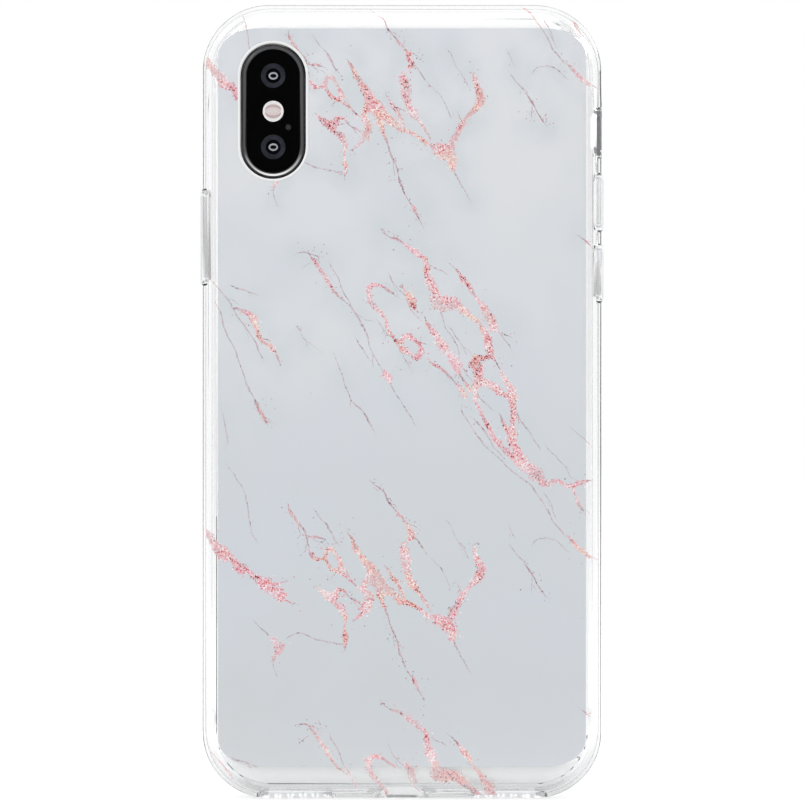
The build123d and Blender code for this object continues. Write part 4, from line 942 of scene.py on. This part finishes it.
# %% Marble material
def marble_material():
    material, tree, shader = new_material(
        "marble print", Coat_Weight=1.0, Coat_Roughness=0.02, IOR=1.45)
    place = object_place(tree)
    rise = spread(tree, axes_of(tree, place)["Z"], film_low.z, film_high.z)
    stone = ramp(tree, rise, [
        (0.0, linear(209, 212, 215)), (0.35, linear(212, 216, 220)), (0.62, linear(222, 225, 228)),
        (0.85, linear(226, 228, 231)), (1.0, linear(226, 228, 232)),
    ])
    blue = ramp(tree, noise(tree, place, 32.0, 3.0, Roughness=0.55), [(0.38, 0.0), (0.66, 0.55)])
    stone = mixed(tree, blue, stone, linear(212, 217, 226))
    warm = ramp(tree, noise(tree, place, 9.0, 1.0), [(0.45, 0.0), (0.7, 0.5)])
    stone = mixed(tree, warm, stone, linear(219, 221, 222))
    wisp = ramp(tree, noise(tree, place, 150.0, 3.0), [(0.35, 0.1), (0.65, 0.75)])
    haze = maths(tree, "MULTIPLY", vertex_number(tree, "halo"), wisp)
    stone = mixed(tree, haze, stone, linear(208, 215, 220))
    fine = add_group(tree, GLITTER, Vein=vertex_number(tree, "grey"), Cell=GREY_CELL).outputs
    dusk = ramp(tree, fine["Spark"], [
        (0.0, linear(212, 190, 196)), (0.40, linear(176, 162, 172)), (0.72, linear(196, 140, 146)),
        (0.88, linear(112, 90, 98)),
    ], smooth=False)
    drawn = mixed(tree, maths(tree, "MULTIPLY", fine["Mask"], 0.72), stone, dusk)
    coarse = add_group(
        tree, GLITTER, Vein=vertex_number(tree, "rose"), Dust=vertex_number(tree, "dust"),
        Cell=CELL,
    ).outputs
    thin = ramp(tree, vertex_number(tree, "girth"), [(0.10, 0.95), (0.38, 0.0)])
    rose_colour = mixed(tree, thin, coarse["Colour"], dusk)
    drawn = mixed(tree, coarse["Mask"], drawn, rose_colour)
    sparkle = maths(tree, "MULTIPLY", coarse["Mask"], coarse["Spark"])
    feed(
        tree, shader, Base_Color=drawn, Roughness=ramp(tree, sparkle, [(0.0, 0.30), (1.0, 0.12)]),
        Metallic=maths(tree, "MULTIPLY", sparkle, 0.10),
    )
    return material


# %% Film piece
def walled(faces, count):
    """The front faces, the same ones turned round at the back, and a wall round every rim."""
    seen = {(f[i], f[(i + 1) % len(f)]) for f in faces for i in range(len(f))}
    back = [tuple(i + count for i in reversed(f)) for f in faces]
    walls = [(b, a, a + count, b + count) for a, b in seen if (b, a) not in seen]
    return faces + back + walls


def closed_sheet(name, points, triangles, front, thickness, numbers, material, replaced=()):
    """A thin sheet whose front lies at the given depths, with named numbers on its vertices."""
    vertices = [
        (x * MM, y + back, z * MM) for back in (0, thickness) for (x, z), y in zip(points, front)]
    faces = walled(triangles.tolist(), len(points))
    piece = new_piece(name, vertices, faces, material, "phone", replaced=replaced)
    for key, values in numbers.items():
        layer = piece.data.attributes.new(key, "FLOAT", "POINT")
        layer.data.foreach_set("value", np.concatenate([values, values]).astype(np.float32))
    return piece


film = closed_sheet(
    "marble_film", film_points, film_faces, np.full(len(film_points), film_low.y),
    film_high.y - film_low.y, film_numbers, marble_material(), ("case_print_film",),
)
print("film polygons", len(film.data.polygons))

# %% [markdown]
# ## Traces in the bumper's rim
#
# The veins run on faintly past the print, over the bumper's clear rim. A second sheet, bent
# to lie just off the rim's rounded edge, carries the same veins. Only the veins are there:
# everything else of that sheet is fully transparent, and they are too, for the most part.

# %% Rim sheet
shell_low, shell_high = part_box("case_shell")
RIM_X = 36.95
RIM_Z = (shell_low.z / MM, shell_high.z / MM)
RIM_MIDDLE, RIM_HALF = sum(RIM_Z) / 2, (RIM_Z[1] - RIM_Z[0]) / 2
RIM_CORNER, RIM_ROUND = 12.4, 3.0      # the bumper's corner and edge radii
RIM_LIFT, RIM_SHEET = 0.05, 0.04       # the sheet's height off the skin, and its thickness
RIM_INSET = 0.75               # the sheet stops this far inside the bumper's outline
KEEP_OFF_X, KEEP_OFF_Z = 7.5, 14       # and stays this far from the island's middle
TRACE_ALPHA = 0.62


def rim_depth(x, z):
    """How far a point lies inside the bumper's outline, in mm."""
    qx = np.abs(x) - (RIM_X - RIM_CORNER)
    qz = np.abs(z - RIM_MIDDLE) - (RIM_HALF - RIM_CORNER)
    beyond = np.hypot(np.maximum(qx, 0), np.maximum(qz, 0))
    return RIM_CORNER - beyond - np.minimum(np.maximum(qx, qz), 0)


def in_rim(x, z):
    clear_of_island = (np.abs(x - lens_x) > KEEP_OFF_X) | (np.abs(z - lens_z) > KEEP_OFF_Z)
    return (rim_depth(x, z) > RIM_INSET) & ~in_film(x, z) & clear_of_island


def trace_material():
    """The marble's glitter alone, as thin specks with nothing between them."""
    material, tree, shader = new_material("vein traces", Roughness=0.4)
    vein = maths(tree, "MAXIMUM", vertex_number(tree, "rose"), vertex_number(tree, "grey"))
    flakes = add_group(tree, GLITTER, Vein=vein, Cell=TRACE_CELL).outputs
    feed(
        tree, shader, Base_Color=mixed(tree, 0.25, flakes["Colour"], linear(238, 216, 222)),
        Alpha=maths(tree, "MULTIPLY", flakes["Mask"], TRACE_ALPHA),
    )
    return material


up = RIM_HALF - RIM_CORNER
rim_outline = rounded_outline(
    RIM_X - RIM_CORNER, RIM_MIDDLE - up, RIM_MIDDLE + up, RIM_CORNER - RIM_INSET,
    RIM_CORNER - RIM_INSET, 12)
rim_points, rim_faces = cut_along_veins(
    rim_outline, film_outline, in_rim, spacing=2.0, edge_x=RIM_X, edge_z=RIM_Z)
inward = np.minimum(rim_depth(rim_points[:, 0], rim_points[:, 1]), RIM_ROUND)
skin = RIM_ROUND - np.sqrt(np.maximum(RIM_ROUND**2 - (RIM_ROUND - inward) ** 2, 0))
rim = closed_sheet(
    "rim_traces", rim_points, rim_faces, shell_low.y + (skin - RIM_LIFT) * MM, RIM_SHEET * MM,
    vein_numbers(rim_points), trace_material(),
)
print("rim polygons", len(rim.data.polygons))

# %% [markdown]
# ## Bumper, back panel and pads
#
# These are right in CAD already, so they only need a smooth skin and clear plastic.

# %% Clear case pieces
smooth_copy("case_shell", "clear_bumper", SOFT_CLEAR, 38)
smooth_copy("case_back_panel", "clear_panel", HARD_CLEAR, 38)
for pad in ("power_pad", "volume_up_pad", "volume_down_pad"):
    smooth_copy(pad, pad + "_skin", SOFT_CLEAR, 38)

# %% [markdown]
# ## The phone's outside
#
# The band is polished steel, the rear glass white and the front glass black with the display
# asleep behind it. A grey sheet on the wall of the switch's cut-out is painted shade: it reads as
# a grey bar where the cut-out's wall lies in shade.

# %% Front glass material
BORDER, CORNER = 4.2, 8.0            # black border and the display's corner radius, in mm
NOTCH_HALF, NOTCH_DEEP = 17.4, 5.4   # half the sensor notch's width, and its depth below the border
glass_low, glass_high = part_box("front_glass")


def screen_material():
    """Black glass. Where the sleeping display lies under it, the black is a shade bluer."""
    material, tree, shader = new_material(
        "screen glass", Roughness=0.03, IOR=1.45, Specular_IOR_Level=0.4)
    place = object_place(tree)
    axes = axes_of(tree, place)
    half_height = (glass_high.z - glass_low.z) / 2
    across = maths(tree, "ABSOLUTE", axes["X"])
    above = maths(tree, "SUBTRACT", axes["Z"], (glass_low.z + glass_high.z) / 2)
    squares = []
    for offset, half in ((across, glass_high.x), (maths(tree, "ABSOLUTE", above), half_height)):
        reach = maths(tree, "SUBTRACT", offset, half - (BORDER + CORNER) * MM)
        over = maths(tree, "MAXIMUM", reach, 0.0)
        squares.append(maths(tree, "MULTIPLY", over, over))
    reach = maths(tree, "SQRT", maths(tree, "ADD", *squares))
    inside = maths(tree, "LESS_THAN", reach, CORNER * MM)
    under = maths(tree, "LESS_THAN", above, half_height - (BORDER + NOTCH_DEEP) * MM)
    beside = maths(tree, "GREATER_THAN", across, NOTCH_HALF * MM)
    lit = maths(tree, "MULTIPLY", inside, maths(tree, "MAXIMUM", under, beside))
    panel = ramp(tree, noise(tree, place, 1200.0), [
        (0.3, (0.0075, 0.008, 0.0105)), (0.7, (0.0095, 0.010, 0.013))])
    feed(tree, shader, Base_Color=mixed(tree, lit, (0.0008, 0.0008, 0.0009), panel))
    return material


# %% Outside pieces
# The steel band, the button caps and the white back glass carry the painted glow of their finishes.
smooth_copy("steel_frame", "steel_band", FINISHES["polished steel"])
smooth_copy("rear_glass", "white_back_glass", FINISHES["rear glass"])
smooth_copy("front_glass", "black_front_glass", screen_material())
for name in ("power_button", "volume_up_button", "volume_down_button", "ring_switch_lever"):
    smooth_copy(name, name + "_cap", FINISHES["polished steel"])
smooth_copy("charging_port", "socket_shell", FINISHES["socket steel"])
smooth_copy("end_screws", "end_screw_pair", FINISHES["screw steel"])


# %% Painted shade in the switch's cut-out
def hoop(name, loops, material):
    """Joins closed loops of points, each to the next and the last to the first."""
    count = len(loops[0])
    faces = []
    for k in range(len(loops)):
        one, two = k * count, (k + 1) % len(loops) * count
        for i in range(count):
            j = (i + 1) % count
            faces.append((one + i, one + j, two + j, two + i))
    points = [point for loop in loops for point in loop]
    return new_piece(name, points, faces, material, "phone", sharp=30)


lever_low, lever_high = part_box("ring_switch_lever")
# A grey sheet of painted shade, standing where the cut-out's wall lies in shade.
CUTOUT_SHADE_GREY = finish_material("painted cut-out shade", linear(166, 166, 168), 0.06, (0.5, 0.6), 1500, 0.1)
SHADE_SHEET_X = (35.60 * MM, 36.60 * MM)                    # where the lining starts and ends
SLOT_HALF_Y, SLOT_HALF_Z, SHADE_SHEET_DEPTH = 2.5 * MM, 4.5 * MM, 0.12 * MM
slot_y = (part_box("rear_glass")[0].y + glass_high.y) / 2
slot_z = (lever_low.z + lever_high.z) / 2
shade_sheet_loops = []
for x, inset in ((SHADE_SHEET_X[0], 0), (SHADE_SHEET_X[1], 0), (SHADE_SHEET_X[1], SHADE_SHEET_DEPTH), (SHADE_SHEET_X[0], SHADE_SHEET_DEPTH)):
    loop = pill_points(slot_y, slot_z, SLOT_HALF_Y - inset, SLOT_HALF_Z - inset, 20)
    shade_sheet_loops.append([(x, y, z) for y, z in loop])
hoop("switch_cutout_shade_sheet", shade_sheet_loops, CUTOUT_SHADE_GREY)

# %% [markdown]
# ## Camera island
#
# The ring is milled metal with a narrow bevel. The cover glass is clear with black ink under
# it, open over each lens, the flash and the microphone, so each lens sits visibly deep behind it.

# %% Island ring
ISLAND_METAL = finish_material(
    "island metal", (0.066, 0.067, 0.07), 0.06, (0.38, 0.46), 1200, Metallic=1.0, Coat_Weight=0.6)
smooth_copy("camera_island_ring", "island_ring", ISLAND_METAL, 25)


# %% Flat sheets
def ring_points(centre, radius, steps=64):
    turns = [2 * math.pi * i / steps for i in range(steps)]
    return [(centre[0] + radius * math.cos(a), centre[1] + radius * math.sin(a)) for a in turns]


def flat_sheet(name, outline, holes, y_front, y_back, material):
    """A sheet with round holes, from outlines in X and Z: front, back and all its walls."""
    points, edges = [], []
    for loop in [outline] + holes:
        first = len(points)
        points += [Vector((x / MM, z / MM)) for x, z in loop]
        edges += [(first + i, first + (i + 1) % len(loop)) for i in range(len(loop))]
    xs, zs = [x / MM for x, z in outline], [z / MM for x, z in outline]
    # Points inside, a millimetre apart and a little askew, keep the triangles even.
    for i in range(1, int(max(xs) - min(xs))):
        for j in range(1, int(max(zs) - min(zs))):
            points.append(Vector((min(xs) + i + 0.013 * j, min(zs) + j + 0.017 * i)))
    verts, _, faces, _, _, _ = delaunay_2d_cdt(points, edges, [], 1, 1e-5)

    def in_hole(x, z):
        for loop in holes:
            cx, cz = sum(p[0] for p in loop) / len(loop), sum(p[1] for p in loop) / len(loop)
            if math.hypot(x - cx, z - cz) < math.hypot(loop[0][0] - cx, loop[0][1] - cz) * 0.999:
                return True
        return False

    kept = []
    for face in faces:
        x = sum(verts[i].x for i in face) / len(face) * MM
        z = sum(verts[i].y for i in face) / len(face) * MM
        if not in_hole(x, z):
            kept.append(tuple(face))
    vertices = [(v.x * MM, y, v.y * MM) for y in (y_front, y_back) for v in verts]
    return new_piece(name, vertices, walled(kept, len(verts)), material, "phone", weld=1e-8)


# %% Lip round the island
# The print stops a little short of the island, and the soft lip there is backed with white.
LIP_GAP = 0.55                 # from the ring's outline to the edge of the print, in mm
island_half_w = (HOLE_HALF_W - LIP_GAP) * MM
island_half_h = (HOLE_HALF_H - LIP_GAP) * MM
WHITE_LIP = finish_material("white lip", linear(236, 237, 238), 0.01, (0.4, 0.5), 900, 0.05)


def pill_band(name, plane, profile, material):
    """Sweeps a closed profile round the island: mm outside its outline, and mm behind a plane."""
    loops = []
    for offset, depth in profile:
        outline = pill_points(
            lens_x * MM, lens_z * MM, island_half_w + offset * MM, island_half_h + offset * MM)
        loops.append([(x, plane + depth * MM, z) for x, z in outline])
    return hoop(name, loops, material)


pill_band(
    "island_lip", film_low.y,
    [(0.05, 0.5), (0.05, 0.0), (0.14, -0.05), (0.28, -0.07), (0.42, -0.05), (0.52, 0.0),
     (0.52, 0.5)],
    WHITE_LIP,
)


# %% Chamfer with a painted highlight
# One narrow bevel of the ring carries a painted highlight, which also glows. It is set by
# height: white at the foot, where it shows as a crescent, and fading to plain grey up the sides.
def chamfer_highlight_material():
    material, tree, shader = new_material(
        "painted chamfer highlight", Metallic=1.0, Roughness=0.2, Emission_Strength=0.7)
    foot = lens_z * MM - island_half_h
    rise = spread(tree, axes_of(tree, object_place(tree))["Z"], foot, foot + island_half_w)
    painted_highlight = ramp(tree, rise, [
        (0.08, (0.95, 0.95, 0.96)), (0.42, (0.4, 0.4, 0.41)), (0.85, (0.0, 0.0, 0.0))])
    feed(
        tree, shader, Emission_Color=painted_highlight,
        Base_Color=mixed(tree, 0.85, painted_highlight, (0.10, 0.10, 0.105)),
    )
    return material


pill_band(
    "ring_chamfer", ring_low.y, [(-0.85, 0.05), (-0.85, -0.12), (-0.50, -0.01), (-0.50, 0.05)],
    chamfer_highlight_material(),
)

# %% Cover glass and the ink under it
WINDOW, FLASH_WINDOW, MIC_WINDOW = 2.28 * MM, 1.93 * MM, 0.5 * MM      # radii of the ink's holes
INK_GAP, INK_DEPTH = 0.03 * MM, 0.07 * MM                              # the ink's front and back


def centre_of(node):
    low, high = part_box(node)
    return (low.x + high.x) / 2, (low.z + high.z) / 2


LENSES = {lens: centre_of(lens + "_camera_barrel") for lens in ("wide", "tele")}
flash_centre, mic_centre = centre_of("flash_diffuser"), centre_of("rear_microphone")
cover_low, cover_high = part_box("camera_cover_glass")
cover_outline = pill_points(
    *centre_of("camera_cover_glass"),
    (cover_high.x - cover_low.x) / 2, (cover_high.z - cover_low.z) / 2)
cover = flat_sheet(
    "island_cover", cover_outline, [], cover_low.y, cover_high.y, COVER_GLASS)
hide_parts("camera_cover_glass")
ink_holes = [ring_points(centre, WINDOW) for centre in LENSES.values()]
ink_holes += [ring_points(flash_centre, FLASH_WINDOW), ring_points(mic_centre, MIC_WINDOW)]
flat_sheet(
    "window_ink", cover_outline, ink_holes, cover_high.y + INK_GAP, cover_high.y + INK_DEPTH,
    FINISHES["black ink"],
)


# %% [markdown]
# ## Lenses
#
# A turned profile makes each of the lens's rings and its glass. The profile is a list of
# (radius, depth) pairs, spun about the lens axis with its poles closed. The bright ring is a
# painted highlight: a near-white ring that stands in for the lens's glint. It and the glass
# inside it are made wider than they are tall.

# %% Turned pieces
def turned(name, centre, plane, profile, material, body, steps=72, tall=1.0):
    """Spins pairs of radius and depth behind a plane, in mm, about Y. A radius of 0 is a pole."""
    vertices, rings = [], []
    for radius, depth in profile:
        y = plane + depth * MM
        if radius == 0:
            rings.append([len(vertices)])
            vertices.append((centre[0], y, centre[1]))
            continue
        rings.append(list(range(len(vertices), len(vertices) + steps)))
        circle = ring_points((0, 0), radius * MM, steps)
        vertices += [(centre[0] + x, y, centre[1] + tall * z) for x, z in circle]
    if len(rings[0]) > 1 and len(rings[-1]) > 1:
        rings.append(rings[0])
    faces = []
    for one, two in zip(rings, rings[1:]):
        for i in range(steps):
            j = (i + 1) % steps
            if len(one) == 1:
                faces.append((one[0], two[j], two[i]))
            elif len(two) == 1:
                faces.append((one[i], one[j], two[0]))
            else:
                faces.append((one[i], one[j], two[j], two[i]))
    return new_piece(name, vertices, faces, material, body, sharp=40)


# The microphone's mesh is a small square on its corner, seen through its round window.
turned(
    "mic_diamond", mic_centre, cover_high.y, [(0, 0.005), (0.66, 0.005), (0.66, 0.025), (0, 0.025)],
    FINISHES["mic mesh"], "phone", steps=4,
)

# %% Lens pieces
BARREL_FACE = finish_material(
    "barrel face", linear(67, 69, 82), 0.34, (0.32, 0.42), 1600, 0.1, Metallic=0.3)
# A painted highlight: a near-white ring for the glint on each lens.
LENS_GLINT = finish_material(
    "lens ring", linear(240, 240, 250), 0.05, (0.4, 0.5), 1500, Specular_IOR_Level=0.1)
LENS_WELL = finish_material(
    "lens well", (0.0018, 0.0018, 0.006), 0.1, (0.4, 0.5), 1500, Specular_IOR_Level=0.0)
LENS_GLASS = finish_material(
    "coated lens glass", (0.0012, 0.0014, 0.004), 0.2, (0.02, 0.04), 400, Specular_IOR_Level=0.12)
GLASS_RADIUS, GLASS_FRONT, GLASS_BULGE, GLASS_BACK = 0.58, 0.18, 0.11, 0.45
DOME_ANGLES = (0.2, 0.5, 0.8, 1.1, 1.35, math.pi / 2)

dome = [(0, GLASS_FRONT)]
dome += [
 
       (GLASS_RADIUS * math.sin(a), GLASS_FRONT + GLASS_BULGE * (1 - math.cos(a))) for a in DOME_ANGLES]
dome += [(GLASS_RADIUS, GLASS_BACK), (0, GLASS_BACK)]

LENS_PARTS = (          # name, profile, material, slot and height as a share of the width
    ("_barrel_face", [(1.40, -0.01), (3.0, -0.01), (3.0, -0.05), (1.40, -0.05)],
     BARREL_FACE, "lens_black", 1.0),
    ("_glint_ring", [(0.26, 0.36), (0.86, 0.26), (0.86, 0.5), (0.26, 0.5)],
     LENS_GLINT, "camera_can", 0.80),
    ("_lens_glass", dome, LENS_GLASS, "camera_glass", 0.62),
    ("_lens_well", [(0.80, 0.42), (1.34, 0.2), (1.34, 0.62), (0.80, 0.62)],
     LENS_WELL, "lens_black", 1.0),
)

for lens, centre in LENSES.items():
    body, front = lens + "_focus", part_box(lens + "_camera_barrel")[0].y
    smooth_copy(
        lens + "_camera_barrel", lens + "_barrel_shell", FINISHES["lens black"])
    for part, profile, material, slot, tall in LENS_PARTS:
        turned(lens + part, centre, front, profile, material, body, tall=tall)

# %% [markdown]
# ## Flash
#
# The flash has a white rim and a pale window whose moulded ribs cross it in shallow bands. The
# ribs are painted shading: light and dark bands of colour on a smooth window. Rim and window
# both carry a painted glow.

# %% Flash
# The rim's glow is painted light.
RIM_WHITE = finish_material(
    "flash rim", linear(252, 251, 250), 0.02, (0.3, 0.4), 1500, 0.05, **glow(0.42))
FLASH_RADIUS, BAND_SAG = 1.9, 240.0      # in mm, and how much the bands bow towards their ends


# The window's light and dark bands are painted shading of its ribs, and its glow is painted light.
def flash_window_material():
    material, tree, shader = new_material(
        "flash window", Roughness=0.22, Coat_Weight=0.6, **glow(0.3, (1.0, 0.9, 0.88)))
    shifted = add_node(
        tree, "ShaderNodeVectorMath", {"operation": "SUBTRACT"}, i0=object_place(tree),
        i1=(flash_centre[0], 0, flash_centre[1]),
    )
    axes = axes_of(tree, shifted.outputs[0])
    sag = maths(tree, "MULTIPLY", maths(tree, "MULTIPLY", axes["X"], axes["X"]), BAND_SAG)
    bow = maths(tree, "ADD", maths(tree, "ABSOLUTE", axes["Z"]), sag)
    tone = ramp(tree, maths(tree, "DIVIDE", bow, FLASH_RADIUS * MM), [
        (0.0, linear(234, 216, 216)), (0.10, linear(250, 243, 242)), (0.20, linear(226, 204, 204)),
        (0.30, linear(250, 242, 240)), (0.40, linear(204, 176, 176)), (0.60, linear(186, 158, 158)),
        (0.74, linear(250, 244, 242)),
    ])
    feed(tree, shader, Base_Color=tone)
    return material


turned(
    "flash_rim", flash_centre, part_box("flash_diffuser")[0].y,
    [(1.55, -0.02), (FLASH_RADIUS, -0.02), (FLASH_RADIUS, -0.001), (1.55, -0.001)],
    RIM_WHITE, "phone",
)
smooth_copy("flash_diffuser", "flash_window", flash_window_material())

# %% [markdown]
# ## Pieces made by repetition
#
# The earpiece cover is a strip of perforated metal. A Geometry Nodes tree lays a grid of
# circles inside a slot outline, fills the sheet between them and gives it thickness. Its sizes
# are named inputs, so the same tree would serve for any perforated strip.


# %% Perforated strip tree
def perforated_tree():
    tree, given = new_group("perforated strip", (
        ("Length", "Float", 10.0 * MM), ("Width", "Float", 1.0 * MM), ("Hole", "Float", 0.12 * MM),
        ("Pitch", "Float", 0.42 * MM), ("Thickness", "Float", 0.08 * MM),
        ("Columns", "Int", 23), ("Rows", "Int", 2), ("Material", "Material", None),
    ), (("Geometry", "Geometry"),), "GeometryNodeTree")

    def step(kind, settings=None, **sockets):
        return add_node(tree, "GeometryNode" + kind, settings, **sockets).outputs[0]

    def joined(*parts):
        join = tree.nodes.new("GeometryNodeJoinGeometry")
        for part in parts:
            tree.links.new(part, join.inputs[0])
        return join.outputs[0]

    # The slot's outline, with ends as round as its width allows.
    outline = step(
        "CurvePrimitiveQuadrilateral", {"mode": "RECTANGLE"}, Width=given["Length"],
        Height=given["Width"])
    round_end = maths(tree, "MULTIPLY", given["Width"], 0.499)
    slot_outline = step(
        "FilletCurve", {"mode": "POLY"}, Curve=outline, Count=8, Limit_Radius=True,
        Radius=round_end)
    # A circle at each point of a grid.
    span_x, span_y = (
        maths(tree, "MULTIPLY", given["Pitch"], maths(tree, "SUBTRACT", given[count], 1.0))
        for count in ("Columns", "Rows"))
    grid = step(
        "MeshGrid", Size_X=span_x, Size_Y=span_y, Vertices_X=given["Columns"],
        Vertices_Y=given["Rows"])
    hole = step("CurvePrimitiveCircle", {"mode": "RADIUS"}, Resolution=10, Radius=given["Hole"])
    holes = step("InstanceOnPoints", Points=step("MeshToPoints", Mesh=grid), Instance=hole)
    # The sheet between them, given its thickness.
    edges = joined(slot_outline, step("RealizeInstances", Geometry=holes))
    fill = step("FillCurve", {"mode": "TRIANGLES"}, Curve=edges)
    thick = step(
        "ExtrudeMesh", {"mode": "FACES"}, Mesh=fill, Offset_Scale=given["Thickness"],
        Individual=False)
    both = joined(thick, step("FlipFaces", Mesh=fill))
    merged = step("MergeByDistance", Geometry=both, Distance=0.001 * MM)
    solid = step("RealizeInstances", Geometry=merged)
    painted = step("SetMaterial", Geometry=solid, Material=given["Material"])
    add_node(tree, "NodeGroupOutput", None, Geometry=painted)
    return tree


def from_tree(name, tree, values, move):
    """Runs a tree on an empty mesh, stands the sheet it lays flat upright, and moves it."""
    carrier = add_object(name + "_carrier", bpy.data.meshes.new(name + "_carrier"))
    modifier = carrier.modifiers.new("tree", "NODES")
    modifier.node_group = tree
    for item in tree.interface.items_tree:
        if item.item_type == "SOCKET" and item.in_out == "INPUT" and item.name in values:
            modifier[item.identifier] = values[item.name]
    deps = bpy.context.evaluated_depsgraph_get()
    mesh = bpy.data.meshes.new_from_object(carrier.evaluated_get(deps))
    bpy.data.objects.remove(carrier)
    points = np.empty(len(mesh.vertices) * 3, np.float32)
    mesh.vertices.foreach_get("co", points)
    points = points.reshape(-1, 3)
    points = np.column_stack([points[:, 0], -points[:, 2], points[:, 1]])
    points += np.array(move, np.float32)
    mesh.vertices.foreach_set("co", points.reshape(-1))
    mend(mesh)
    return add_object(name, mesh)


# %% Earpiece cover
EAR_LENGTH, EAR_WIDTH = 10.45 * MM, 0.86 * MM
EAR_RISE = 1.35 * MM        # above the earpiece's middle
EAR_SINK = 0.1 * MM         # behind the glass's face
ear_low, ear_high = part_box("earpiece_speaker")
ear_strip = from_tree(
    "earpiece_cover", perforated_tree(),
    {"Length": EAR_LENGTH, "Width": EAR_WIDTH, "Material": FINISHES["socket steel"]},
    (0, glass_high.y - EAR_SINK, (ear_low.z + ear_high.z) / 2 + EAR_RISE),
)
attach(ear_strip, "phone")
print("earpiece cover", len(ear_strip.data.polygons), "polygons")

# %% [markdown]
# ## Everything inside
#
# The inner nodes keep their CAD shapes. Each gets the finish of what it is.

# %% Inside finishes
# The antenna breaks and the grille mesh carry the painted glow of their finishes.
NODE_FINISH = {
    "antenna_breaks": "antenna plastic", "display_gasket": "seal rubber", "oled_panel": "display stack",
    "display_shield_plate": "milled aluminium", "rear_support_plate": "milled aluminium",
    "ring_switch_base": "sensor black", "sim_tray": "polished steel", "sim_reader": "nickel can",
    "button_flexes": "flex circuit", "flash_led_module": "flash phosphor",
    "rear_microphone": "mic mesh", "camera_bracket": "nickel can", "sensor_bracket": "nickel can",
    "main_board_rear": "board laminate", "board_interposer": "board laminate",
    "main_board_front": "board laminate", "board_shield_can": "nickel can",
    "board_chips": "chip resin", "processor_package": "chip resin", "board_screws": "screw steel",
    "battery_adhesive_strips": "white tape", "charging_coil": "copper wire", "ferrite_sheet": "ferrite",
    "haptic_engine_case": "nickel can", "haptic_weight": "dense weight",
    "speaker_box": "speaker plastic", "speaker_cone": "cone film", "speaker_magnet": "bright nickel",
    "port_flex": "flex circuit", "bottom_microphone": "socket steel", "grille_mesh": "grille steel",
    "infrared_camera": "sensor black", "flood_illuminator": "sensor black",
    "earpiece_speaker": "sensor black", "selfie_camera": "sensor black", "dot_projector": "sensor black",
    "battery_long_cell": "cell wrap", "battery_short_cell": "cell wrap",
    "wide_camera_housing": "nickel can", "tele_camera_housing": "nickel can",
}
for node, finish in NODE_FINISH.items():
    mesh = frame["nodes"][node].data
    mesh.materials.clear()
    mesh.materials.append(FINISHES[finish])
print("inside nodes", len(NODE_FINISH))
